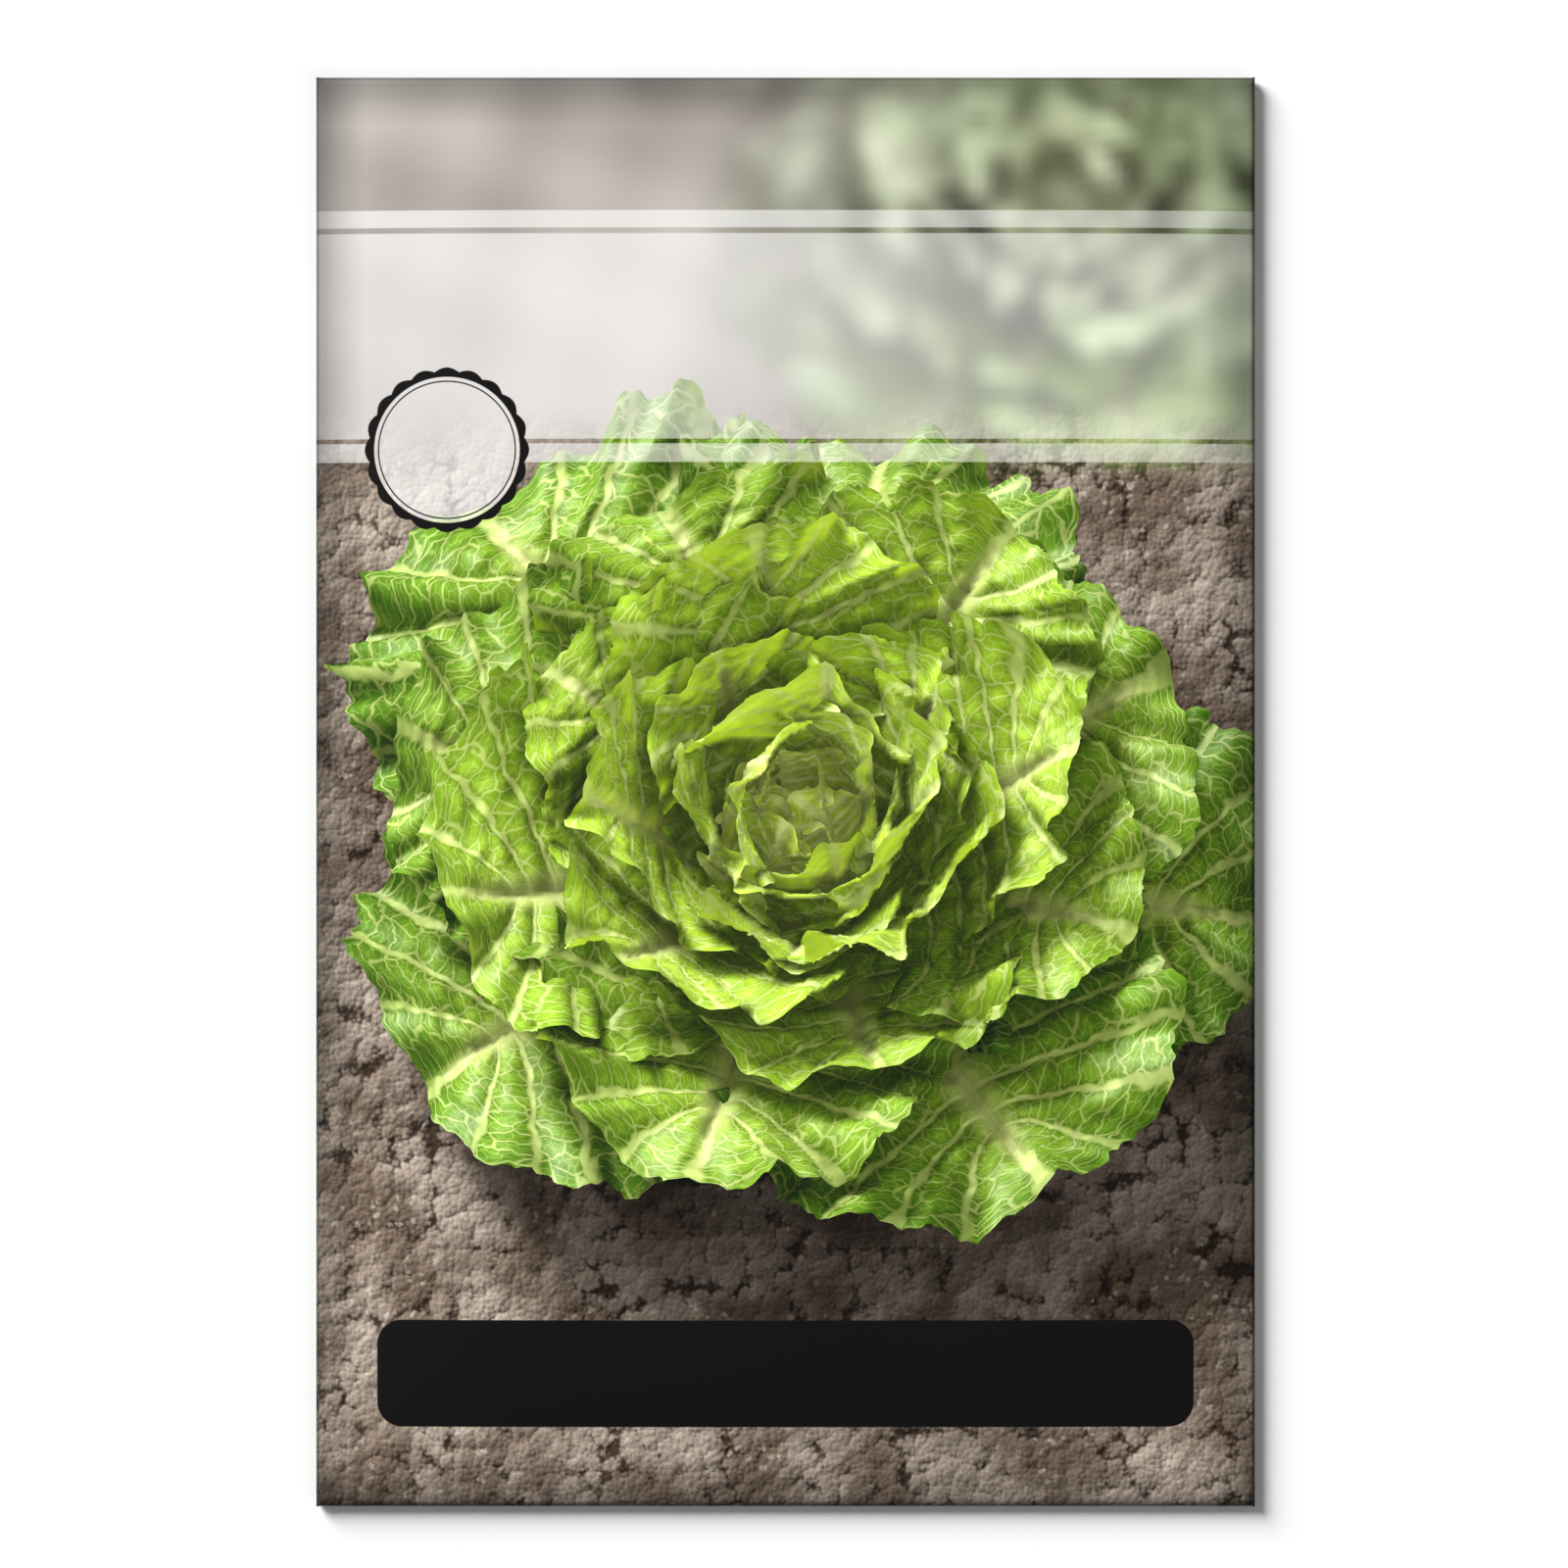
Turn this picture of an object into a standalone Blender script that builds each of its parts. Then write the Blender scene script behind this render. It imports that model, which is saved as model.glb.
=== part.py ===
# A flat paper seed packet, filled and sealed, lying on its back with its front up.
# Metres, +Z up. The origin is under the packet's middle, on the surface that it lies on.
# +X is to the right and +Y to the top for someone who looks down at the front.

import math
import random

import bmesh
import bpy
from mathutils import Matrix, Vector

# The packet
WIDTH = 0.0834
HEIGHT = 0.127
PAPER = 0.0002  # thickness of the coated sheet
LAP = 0.00016  # space between two lapped layers, which holds the glue film
SWELL = 0.0018  # how far the contents push the front out
SEED_SWELL = 0.0005  # the further rise over the heap of seeds
RIM = 0.006  # distance over which the front rises from a fold

# The flaps of the die-cut sheet, all folded behind the front
BOTTOM_FLAP = 0.012
TOP_FLAP = 0.018
SIDE_FLAP = 0.011
FLAP_TAPER = 0.05  # share of a flap's width that is lost towards its free edge
BACK_EDGE_INSET = 0.001  # the back panel's glued edge stops this far from the right fold

# The layers, as heights of the sheet's middle surface
LAYER = PAPER + LAP
FLAP_Z = PAPER / 2
BACK_Z = FLAP_Z + LAYER
SIDE_FLAP_Z = BACK_Z + LAYER
FRONT_Z = SIDE_FLAP_Z + LAYER

# The folds: half circles that join two layers
LEFT_RADIUS = (FRONT_Z - BACK_Z) / 2
RIGHT_RADIUS = (FRONT_Z - SIDE_FLAP_Z) / 2
END_RADIUS = (FRONT_Z - FLAP_Z) / 2
LEFT_FOLD = -WIDTH / 2 + LEFT_RADIUS + PAPER / 2
RIGHT_FOLD = WIDTH / 2 - RIGHT_RADIUS - PAPER / 2
END_FOLD = HEIGHT / 2 - END_RADIUS - PAPER / 2
FOLD_STEPS = 6

# The front's grid, closer together near the folds
COLUMNS = 9
ROWS = 12
GRID_EASE = 1.6

# The glue films
GLUE = 0.00006
SIDE_GLUE_WIDTH = 0.006
BOTTOM_GLUE_WIDTH = 0.005
TOP_GLUE_WIDTH = 0.008
GLUE_MARGIN = 0.006
GLUE_END_STEPS = 8

# The seeds: lettuce achenes, in a low heap that has slid to the lower half
SEED_LENGTH = 0.0038
SEED_WIDTH = 0.0011
SEED_THICKNESS = 0.0006
SEED_SIDES = 6
SEED_RINGS = ((0.2, 0.55), (0.55, 1.0), (0.85, 0.6))  # share of the length, share of the width
SEED_COUNT = 130
SEED_TILT = math.radians(5)
SEED_LIFT = SEED_THICKNESS / 2 + SEED_LENGTH / 2 * math.sin(SEED_TILT)  # of a seed that lies lowest
HEAP_CENTRE = Vector((0.0, -0.026))
HEAP_HALF = Vector((0.015, 0.012))
HEAP_HEIGHT = 0.0018
HEAP_GAP = 0.0003  # between the heap and the paper under it
HEAP_RINGS = 5
HEAP_SIDES = 24
GOLDEN_ANGLE = math.pi * (3 - math.sqrt(5))
SEED_OF_DRAWS = 11

PAPER_LOOK = ((0.86, 0.85, 0.82), 0.38)
GLUE_LOOK = ((0.80, 0.78, 0.70), 0.55)
SEED_LOOK = ((0.20, 0.13, 0.08), 0.70)


def clear_scene():
    for obj in list(bpy.data.objects):
        bpy.data.objects.remove(obj, do_unlink=True)


def material(name, colour, roughness):
    made = bpy.data.materials.new(name)
    made.use_nodes = True
    shader = made.node_tree.nodes["Principled BSDF"]
    shader.inputs["Base Color"].default_value = (*colour, 1.0)
    shader.inputs["Roughness"].default_value = roughness
    made.diffuse_color = (*colour, 1.0)
    return made


def add_object(name, mesh, look, parent=None):
    obj = bpy.data.objects.new(name, mesh)
    bpy.context.scene.collection.objects.link(obj)
    mesh.materials.append(look)
    obj.parent = parent
    return obj


def mesh_of(name, shape):
    """Turns a bmesh into a mesh with outward faces."""
    bmesh.ops.recalc_face_normals(shape, faces=shape.faces)
    mesh = bpy.data.meshes.new(name)
    shape.to_mesh(mesh)
    shape.free()
    return mesh


# The sheet


def rise(distance):
    """Share of the swell at this distance inside a fold."""
    return 1 - math.exp(-max(distance, 0.0) / RIM)


def front_height(x, y):
    """Height of the front's middle surface: level along its folds, and swollen by the contents."""
    pillow = rise(x - LEFT_FOLD) * rise(RIGHT_FOLD - x) * rise(END_FOLD - abs(y))
    across = (x - HEAP_CENTRE.x) / (1.6 * HEAP_HALF.x)
    along = (y - HEAP_CENTRE.y) / (2.2 * HEAP_HALF.y)
    heap = math.exp(-across * across - along * along)
    return FRONT_Z + pillow * (SWELL + SEED_SWELL * heap)


def stations(low, high, count):
    """Places from low to high, closer together towards both ends."""
    middle = (low + high) / 2
    half = (high - low) / 2
    steps = [half * (k / count) ** GRID_EASE for k in range(count)]
    return [low + s for s in steps] + [middle] + [high - s for s in reversed(steps)]


def fold(radius):
    """(distance out from the fold line, drop below the front) round a half circle, without its start."""
    angles = [math.pi * k / FOLD_STEPS for k in range(1, FOLD_STEPS + 1)]
    return [(radius * math.sin(a), radius * (1 - math.cos(a))) for a in angles]


def strip(shape, edge, rows):
    """Adds a strip of faces from an edge's vertices through rows of further points."""
    last = edge
    for points in rows:
        new = [shape.verts.new(p) for p in points]
        for k in range(len(new) - 1):
            shape.faces.new((last[k], last[k + 1], new[k + 1], new[k]))
        last = new


def side_rows(ys, fold_line, radius, outward, free_edge, taper):
    """Points of a side fold and of the panel behind it, down to its free edge."""
    rows = [[(fold_line + outward * out, y, FRONT_Z - drop) for y in ys] for out, drop in fold(radius)]
    rows.append([(free_edge, y * (1 - taper), FRONT_Z - 2 * radius) for y in ys])
    return rows


def end_rows(xs, outward, flap):
    """Points of the bottom or top fold and of its flap. The fold flares to square the packet's corners."""
    rows = []
    for out, drop in fold(END_RADIUS):
        flare = 1 + 0.5 * (LEFT_RADIUS + RIGHT_RADIUS) * out / END_RADIUS / RIGHT_FOLD
        rows.append([(x * flare, outward * (END_FOLD + out), FRONT_Z - drop) for x in xs])
    free_edge = outward * (END_FOLD - flap)
    rows.append([(x * (1 - FLAP_TAPER), free_edge, FLAP_Z) for x in xs])
    return rows


def paper_envelope(parent):
    """The whole sheet: front, side fold and back panel, glue flap, bottom flap and top flap."""
    xs = stations(LEFT_FOLD, RIGHT_FOLD, COLUMNS)
    ys = stations(-END_FOLD, END_FOLD, ROWS)
    shape = bmesh.new()
    front = [[shape.verts.new((x, y, front_height(x, y))) for x in xs] for y in ys]
    for low, high in zip(front, front[1:]):
        for k in range(len(xs) - 1):
            shape.faces.new((low[k], low[k + 1], high[k + 1], high[k]))
    left = [row[0] for row in front]
    right = [row[-1] for row in front]
    back_edge = WIDTH / 2 - BACK_EDGE_INSET
    flap_edge = RIGHT_FOLD - SIDE_FLAP
    strip(shape, left, side_rows(ys, LEFT_FOLD, LEFT_RADIUS, -1, back_edge, 0.0))
    strip(shape, right, side_rows(ys, RIGHT_FOLD, RIGHT_RADIUS, 1, flap_edge, FLAP_TAPER))
    strip(shape, front[0], end_rows(xs, -1, BOTTOM_FLAP))
    strip(shape, front[-1], end_rows(xs, 1, TOP_FLAP))
    mesh = mesh_of("paper_envelope", shape)
    mesh.shade_smooth()
    mesh.set_sharp_from_angle(angle=math.radians(35))
    obj = add_object("paper_envelope", mesh, material("coated_paper", *PAPER_LOOK), parent)
    sheet = obj.modifiers.new("sheet_thickness", "SOLIDIFY")
    sheet.thickness = PAPER
    sheet.offset = 0.0
    sheet.use_even_offset = True
    return obj


# The glue


def glue_film(name, centre, length, width, turn, look, parent):
    """A thin strip of glue with round ends, lying level."""
    straight = (length - width) / 2
    outline = []
    for side in (1, -1):
        for k in range(GLUE_END_STEPS + 1):
            angle = math.pi * (k / GLUE_END_STEPS - 0.5)
            outline.append((side * (straight + width / 2 * math.cos(angle)), side * width / 2 * math.sin(angle)))
    shape = bmesh.new()
    ring = [shape.verts.new((x, y, -GLUE / 2)) for x, y in outline]
    bottom = shape.faces.new(ring)
    raised = bmesh.ops.extrude_face_region(shape, geom=[bottom])
    top = [part for part in raised["geom"] if isinstance(part, bmesh.types.BMVert)]
    bmesh.ops.translate(shape, verts=top, vec=(0, 0, GLUE))
    obj = add_object(name, mesh_of(name, shape), look, parent)
    obj.location = centre
    obj.rotation_euler.z = turn
    return obj


def glue_films(parent):
    """The films that hold the side seam, the bottom flap and the top flap."""
    look = material("glue", *GLUE_LOOK)
    side_x = RIGHT_FOLD - SIDE_FLAP / 2
    seam_z = (BACK_Z + SIDE_FLAP_Z) / 2
    flap_z = (FLAP_Z + BACK_Z) / 2
    seam_length = 2 * (END_FOLD - GLUE_MARGIN)
    flap_length = 2 * (RIGHT_FOLD - GLUE_MARGIN)
    bottom_y = -END_FOLD + BOTTOM_FLAP / 2
    top_y = END_FOLD - TOP_FLAP / 2
    quarter = math.pi / 2
    glue_film("side_seam_glue", (side_x, 0, seam_z), seam_length, SIDE_GLUE_WIDTH, quarter, look, parent)
    glue_film("bottom_flap_glue", (0, bottom_y, flap_z), flap_length, BOTTOM_GLUE_WIDTH, 0, look, parent)
    glue_film("top_flap_glue", (0, top_y, flap_z), flap_length, TOP_GLUE_WIDTH, 0, look, parent)


# The seeds


def seed_shape():
    """One flattened, pointed seed along X, centred on the origin."""
    shape = bmesh.new()
    foot = shape.verts.new((-SEED_LENGTH / 2, 0, 0))
    tip = shape.verts.new((SEED_LENGTH / 2, 0, 0))
    rings = []
    for along, share in SEED_RINGS:
        x = (along - 0.5) * SEED_LENGTH
        ring = []
        for k in range(SEED_SIDES):
            angle = math.tau * k / SEED_SIDES
            y = math.cos(angle) * share * SEED_WIDTH / 2
            z = math.sin(angle) * share * SEED_THICKNESS / 2
            ring.append(shape.verts.new((x, y, z)))
        rings.append(ring)
    for k in range(SEED_SIDES):
        n = (k + 1) % SEED_SIDES
        shape.faces.new((foot, rings[0][k], rings[0][n]))
        shape.faces.new((tip, rings[-1][k], rings[-1][n]))
        for low, high in zip(rings, rings[1:]):
            shape.faces.new((low[k], low[n], high[n], high[k]))
    return mesh_of("seed", shape)


def heap_height(share):
    """Height of the heap's surface above its foot, at a share of its radius."""
    return HEAP_HEIGHT * (1 - share * share)


def heap_shape(floor_z):
    """The seeds deep in the heap, as one low mound that the outer seeds stand out of."""
    shape = bmesh.new()
    rings = []
    for r in range(1, HEAP_RINGS + 1):
        share = r / HEAP_RINGS
        z = floor_z + max(heap_height(share), SEED_THICKNESS)
        ring = []
        for k in range(HEAP_SIDES):
            angle = math.tau * k / HEAP_SIDES
            x = HEAP_CENTRE.x + share * HEAP_HALF.x * math.cos(angle)
            y = HEAP_CENTRE.y + share * HEAP_HALF.y * math.sin(angle)
            ring.append(shape.verts.new((x, y, z)))
        rings.append(ring)
    foot = [shape.verts.new((v.co.x, v.co.y, floor_z)) for v in rings[-1]]
    top = shape.verts.new((HEAP_CENTRE.x, HEAP_CENTRE.y, floor_z + HEAP_HEIGHT))
    rings.append(foot)
    for k in range(HEAP_SIDES):
        n = (k + 1) % HEAP_SIDES
        shape.faces.new((top, rings[0][k], rings[0][n]))
        for low, high in zip(rings, rings[1:]):
            shape.faces.new((low[k], high[k], high[n], low[n]))
    shape.faces.new(foot)
    return mesh_of("lettuce_seeds", shape)


def lettuce_seeds(parent):
    """The filling: seeds lying every way in a low heap on the back panel, fused where they touch."""
    draws = random.Random(SEED_OF_DRAWS)
    look = material("seed_coat", *SEED_LOOK)
    floor_z = BACK_Z + PAPER / 2 + HEAP_GAP
    heap = add_object("lettuce_seeds", heap_shape(floor_z), look, parent)
    loose = bpy.data.collections.new("loose_seeds")
    bpy.context.scene.collection.children.link(loose)
    one_seed = seed_shape()
    for k in range(SEED_COUNT):
        share = math.sqrt((k + 0.5) / SEED_COUNT)
        angle = k * GOLDEN_ANGLE
        x = HEAP_CENTRE.x + share * HEAP_HALF.x * math.cos(angle)
        y = HEAP_CENTRE.y + share * HEAP_HALF.y * math.sin(angle)
        z = floor_z + max(heap_height(share), SEED_LIFT)
        turn = Matrix.Rotation(draws.uniform(0, math.tau), 4, "Z")
        tilt = Matrix.Rotation(draws.uniform(-SEED_TILT, SEED_TILT), 4, "Y")
        seed = bpy.data.objects.new(f"seed_{k:03d}", one_seed)
        seed.matrix_world = Matrix.Translation((x, y, z)) @ turn @ tilt
        loose.objects.link(seed)
    join = heap.modifiers.new("fuse", "BOOLEAN")
    join.operation = "UNION"
    join.operand_type = "COLLECTION"
    join.collection = loose
    join.solver = "EXACT"
    bpy.context.view_layer.objects.active = heap
    bpy.ops.object.modifier_apply(modifier=join.name)
    for seed in list(loose.objects):
        bpy.data.objects.remove(seed, do_unlink=True)
    bpy.data.collections.remove(loose)
    return heap


def main():
    clear_scene()
    packet = bpy.data.objects.new("seed_packet", None)
    bpy.context.scene.collection.objects.link(packet)
    paper_envelope(packet)
    glue_films(packet)
    lettuce_seeds(packet)


main()
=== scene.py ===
# The looks of a sealed paper seed packet, lying on its back and seen from straight above.
# Metres on the packet. The picture printed on it is worked out in millimetres.

import math
import random

import bpy
import numpy as np
from mathutils import Matrix, Vector
from mathutils.bvhtree import BVHTree
from mathutils.geometry import delaunay_2d_cdt


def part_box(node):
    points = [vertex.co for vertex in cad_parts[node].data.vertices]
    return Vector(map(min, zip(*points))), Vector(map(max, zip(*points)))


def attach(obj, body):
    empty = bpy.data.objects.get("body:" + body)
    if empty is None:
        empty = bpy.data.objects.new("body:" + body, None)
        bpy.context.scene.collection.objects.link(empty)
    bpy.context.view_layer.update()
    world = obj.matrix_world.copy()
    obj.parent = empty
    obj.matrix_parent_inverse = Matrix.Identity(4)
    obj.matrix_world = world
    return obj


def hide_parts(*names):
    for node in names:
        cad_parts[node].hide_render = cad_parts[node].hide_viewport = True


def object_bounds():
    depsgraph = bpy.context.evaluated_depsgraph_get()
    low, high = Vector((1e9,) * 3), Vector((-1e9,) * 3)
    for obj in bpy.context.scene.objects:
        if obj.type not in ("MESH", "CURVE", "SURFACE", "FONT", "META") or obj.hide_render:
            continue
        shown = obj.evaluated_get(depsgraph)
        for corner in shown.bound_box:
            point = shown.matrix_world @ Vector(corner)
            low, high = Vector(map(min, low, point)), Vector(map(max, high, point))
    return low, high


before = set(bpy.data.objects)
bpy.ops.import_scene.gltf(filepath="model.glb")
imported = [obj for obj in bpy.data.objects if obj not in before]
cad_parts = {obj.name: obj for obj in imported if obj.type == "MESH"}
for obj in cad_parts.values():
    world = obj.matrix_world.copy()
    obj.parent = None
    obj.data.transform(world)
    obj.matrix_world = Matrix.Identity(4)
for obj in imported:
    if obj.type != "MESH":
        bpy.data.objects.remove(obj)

cad_low, cad_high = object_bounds()
MM = 0.001

# The folded sheet, from the frame's own box
PAPER = 0.2 * MM
LAYER = 0.36 * MM
LEFT_RADIUS = LAYER
RIGHT_RADIUS = LAYER / 2
END_RADIUS = 1.5 * LAYER
FLAP_Z = PAPER / 2
FRONT_Z = FLAP_Z + 3 * LAYER
LEFT_FOLD = cad_low[0] + LEFT_RADIUS + PAPER / 2
RIGHT_FOLD = cad_high[0] - RIGHT_RADIUS - PAPER / 2
END_FOLD = cad_high[1] - END_RADIUS - PAPER / 2
BACK_EDGE = cad_high[0] - 1.0 * MM
SIDE_FLAP = 11.0 * MM
BOTTOM_FLAP = 12.0 * MM
TOP_FLAP = 18.0 * MM
FLAP_TAPER = 0.05

# The swell of the front over its contents
SWELL = 1.84 * MM
SEED_SWELL = 0.5 * MM
RIM = 8.0 * MM
RIM_START = 0.8 * MM
HEAP = Vector((0.0, -0.026))
HEAP_REACH = Vector((0.024, 0.0264))
WAVE = 0.05 * MM
PUCKER = 0.10 * MM
PUCKER_REACH = 9.0 * MM
PUCKER_PLACE = 0.8
PUCKER_FOLDS = 7
LONG_WAVE = (210.0, 90.0, 1.3)
CROSS_WAVE = (-60.0, 150.0, 0.4)

# The sheet's mesh
COLUMNS = 220
SHARP_ROWS = 218
FAR_ROWS = 36
NEAR_ROWS = 26
FOLD_STEPS = 6
FOLD_PRINT_STEP = 0.3
BACK_STEPS = 12
FLAP_STEPS = 4
INNER_STEP = 3.0 * MM
LINING_RINGS = (0.7, 1.6, 3.0, 5.0, 7.5)
SHARP_LOW = -49.0 * MM
SHARP_HIGH = 30.0 * MM
FLAP_CORNER = 2.5 * MM
BACK_BELLY = 0.12 * MM
BELLY_END = 0.7
CORNER_REACH = 1.5 * MM
CORNER_FLARE = 1.6
SLOPE_STEP = 0.05 * MM
SHARP_ANGLE = math.radians(50)

# The print on the front, in millimetres from the middle of the front
BAND_TOP = 51.55
BAND_BOTTOM = 29.2
RULE_TOP = (49.5, 50.0)
RULE_BOTTOM = (30.87, 31.27)
BADGE_CENTRE = (-30.0, 30.3)
BADGE_TIPS = 7.3
BADGE_HOLLOWS = 6.95
BADGE_LOBES = 20
BADGE_INNER = 6.48
BADGE_RING = 6.08
BADGE_RING_WIDTH = 0.11
PLATE_CENTRE = (0.0, -51.55)
PLATE_HALF = (36.2, 4.75)
PLATE_CORNER = 2.2
# Painted shade along the front's edges: how far in its soft border and its darker last line reach
SHADE_REACH = 4.5
EDGE_SHADE_LINE_REACH = 0.3
INK_EDGE = 0.045
LEAST_INK = (0.03, 0.03, 0.02)

# The print on the back, in the same millimetres
BACK_FRAME = ((0.0, -3.0), (36.5, 42.5), 2.0, 0.35)
BACK_RULES = (26.0, 27.0, -32.0)
BACK_RULE_HALF = (33.0, 0.12)
FIELD_CENTRES = (-24.0, -8.0, 8.0, 24.0)
FIELD_LEVEL = 14.0
FIELD = ((6.2, 6.2), 1.2, 0.25)
FLAP_LINE = (1.4, 1.7)

# The lettuce in the picture, in millimetres with its middle on the ground
LEAVES = 36
GOLDEN_ANGLE = math.pi * (3 - math.sqrt(5))
HEART_LENGTH = 13.0
LEAF_LENGTH = 42.0
ALONG_STEPS = 220
ACROSS_STEPS = 26
VEINS = 11.0

# Each leaf's shape. Folds and frills: how many at least, and how many more on a full leaf.
# Cup, lean and bend: at the heart, and how much less on the outside; the last number is the spread.
LEAF_GROWTH = 0.85
LENGTH_SPREAD = (0.93, 1.07)
WIDTH_SPREAD = (0.92, 1.08)
FOLDS = (3.5, 4.5)
FRILLS = (9.0, 14.0)
TEETH = (41, 67)
FOLD_EDGE = 0.035
FRILL_EDGE = 0.030
TOOTH_EDGE = 0.022
FOLD_LIFT = 2.5
FRILL_LIFT = 1.25
PILLOW_LIFT = 0.75
CRINKLE_LIFT = 0.22
RIB_DEPTH = 0.8
CUP = (0.9, 0.72)
LEAN = (70, 44, 5)
BEND = (64, 106, 8)
TWIST = 0.10
LEAF_TURN_SPREAD = 0.14

# All chance in the lettuce's shape comes from here
DRAWS = random.Random(5)

# How the picture looks at it
HEAD = Vector((1.5, -9.5))
LOOK_TILT = math.radians(24)
SUN = Vector((-0.48, 0.52, 0.68)).normalized()
SKY_RAYS = 18
SUN_RAYS = 7
SUN_SPREAD = 0.13
LOOK_START = 90
LOOK_REACH = 120
SHADOW_REACH = 45
CLEAR = 0.2
GLOSS_FOCUS = 26
STEADY_STEPS = ((0.14, 0.09), (-0.14, -0.09))
CUT_HALVINGS = 5
CUT_MARGIN = 0.06
FOCUS = (26.0, 36.0)
FAR_HEADS = (((25.0, 47.0), 0.74, -1), ((0.0, 76.0), 0.5, 1))
CANVAS_HALF = (45.0, 68.0)
CANVAS_STEP = 0.8
NEAR_BLUR = 0.45
FAR_BLUR = 0.80
HAZE_SHARE = 0.62
HAZE_GREY = 0.72
FAR_CONTRAST = 1.5
FAR_MIDDLE = 0.27
HAZE_UP = (18.0, 50.0)
HAZE_ASIDE = (-12.0, 26.0)
HAZE_RIGHT = 0.10

# Colours, as the scene's light sees them
HEART_GREEN = (0.56, 0.64, 0.13)
YOUNG_GREEN = (0.36, 0.52, 0.055)
OLD_GREEN = (0.085, 0.19, 0.028)
YOUNG_AGE = 0.42
RIB_GREEN = (0.68, 0.74, 0.32)
YOUNG_VEIN = (0.86, 0.90, 0.50)
VEIN_WANDER = 0.35
VEIN_WIDTH = (0.030, 0.115)
NET_WIDTH = (0.015, 0.085)
FINE_NET = 2.7
RIB_WIDTH = (0.45, 1.15)
GLOW_GREEN = (0.50, 0.66, 0.045)
LEAF_SUN = 1.30
LEAF_SKY = 0.72
LEAF_FILL = 0.11
HEART_FILL = 0.20
SHADE_TINT = (0.96, 1.0, 0.86)
LEAF_GLOW = 0.9
LEAF_GLOSS = 0.24
BED_SUN = 0.90
BED_SKY = 0.62
SOIL_DARK = (0.045, 0.031, 0.022)
SOIL_MID = (0.175, 0.138, 0.110)
SOIL_PALE = (0.36, 0.305, 0.258)
GRIT = (0.45, 0.40, 0.35)
CLODS = 0.20
CRUMBS = 0.62
GRAINS = 2.1
BED_LAMP_STEP = (-0.15, 0.16, 0.0)
HAZE_DARK = (0.34, 0.305, 0.28)
HAZE_PALE = (0.70, 0.65, 0.60)
SCREEN_GAMMA = 2.2
INK_SCREEN = (0.062, 0.050, 0.055)
VEIL_WHITE = (0.975, 0.970, 0.965)
BAND_VEIL = 0.54
BAND_THINNING = 0.002
BADGE_VEIL = 0.66
# Painted shade along the front's edges: how dark its soft border and its darker last line get
EDGE_SHADE = 0.32
EDGE_SHADE_LINE = 0.30
CONTRAST = 1.18
DARKER = 0.055
STOCK = ((0.80, 0.785, 0.735), (0.88, 0.87, 0.83))
FLAP_GREEN = ((0.20, 0.27, 0.09), (0.26, 0.34, 0.13))
FLAP_LINE_PALE = (0.80, 0.80, 0.72)
BACK_LINE_GREEN = (0.22, 0.29, 0.11)
BARE_PAPER = ((0.74, 0.73, 0.69), (0.88, 0.87, 0.84))
PASTE = ((0.72, 0.67, 0.52), (0.84, 0.81, 0.70))
SEED_BROWN = ((0.05, 0.033, 0.022), (0.20, 0.14, 0.09))
SEED_WEAR = (0.42, 0.34, 0.24)

# The print's faces, and what is kept at their corners
MARK_NAMES = ("leaf_place", "leaf_state", "leaf_light", "soft_colour")
FRONT_INK = 0
BACK_INK = 1
NO_INK = 2

# The seeds
SEED_LENGTH = 3.8 * MM
SEED_HALF_WIDTH = 0.52 * MM
SEED_HALF_HEIGHT = 0.29 * MM
SEED_LAYER = 0.6 * MM
SEED_TRIES = 900
SEED_RINGS = 9
SEED_SIDES = 12
SEED_SIZES = (0.88, 1.0)
SEED_GROOVE = 0.84
SEED_APART = 2.1
SEED_BODY = np.linspace(-0.34, 0.34, 4)

# The stage
FLOOR_HALF = 25.0
FLOOR_GAP = 0.02 * MM
FLOOR_WHITE = (0.93, 0.93, 0.93, 1.0)
SKY_STRENGTH = 0.16
KEY_STRENGTH = 6.2
KEY_FROM = (-0.635, 0.635, 0.44)
FILL_STRENGTH = 0.45
FILL_FROM = (0.62, -0.62, 0.48)
SOFTNESS = math.radians(34)
LENS = 135.0
SENSOR = 36.0
PICTURE_PIXELS = 1600
PIXELS_PER_MM = 11.475
PACKET_PIXEL = (801.5, 808.0)


# Arrays, curves and objects


def placed(name, data):
    """A new object in the scene, with this mesh, lamp or camera."""
    obj = bpy.data.objects.new(name, data)
    bpy.context.scene.collection.objects.link(obj)
    return obj


def smoothstep(low, high, value):
    share = np.clip((value - low) / (high - low), 0, 1)
    return share * share * (3 - 2 * share)


def blend(a, b, share):
    """The colour that is this share of the way from a to b."""
    return tuple(p + (q - p) * share for p, q in zip(a, b))


# The lettuce that the picture shows, which is looked at and not kept


def leaf_outline(length, half_width, round_leaf, out, reach):
    """How far each point lies along the leaf and across it, laid flat."""
    swing = np.pi * np.abs(round_leaf)
    side = np.sign(round_leaf)
    margin_x = length * (1 + np.cos(swing)) / 2
    breadth = 0.42 + 0.58 * np.sqrt(margin_x / length)
    margin_y = side * half_width * np.sin(swing) ** 0.85 * breadth
    spine_x = margin_x * 0.80
    along = spine_x + (margin_x * (0.5 + 0.5 * reach) - spine_x) * out ** 1.25
    across = margin_y * out ** 0.92 * (1 + (reach - 1) * out)
    return along, across


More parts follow.
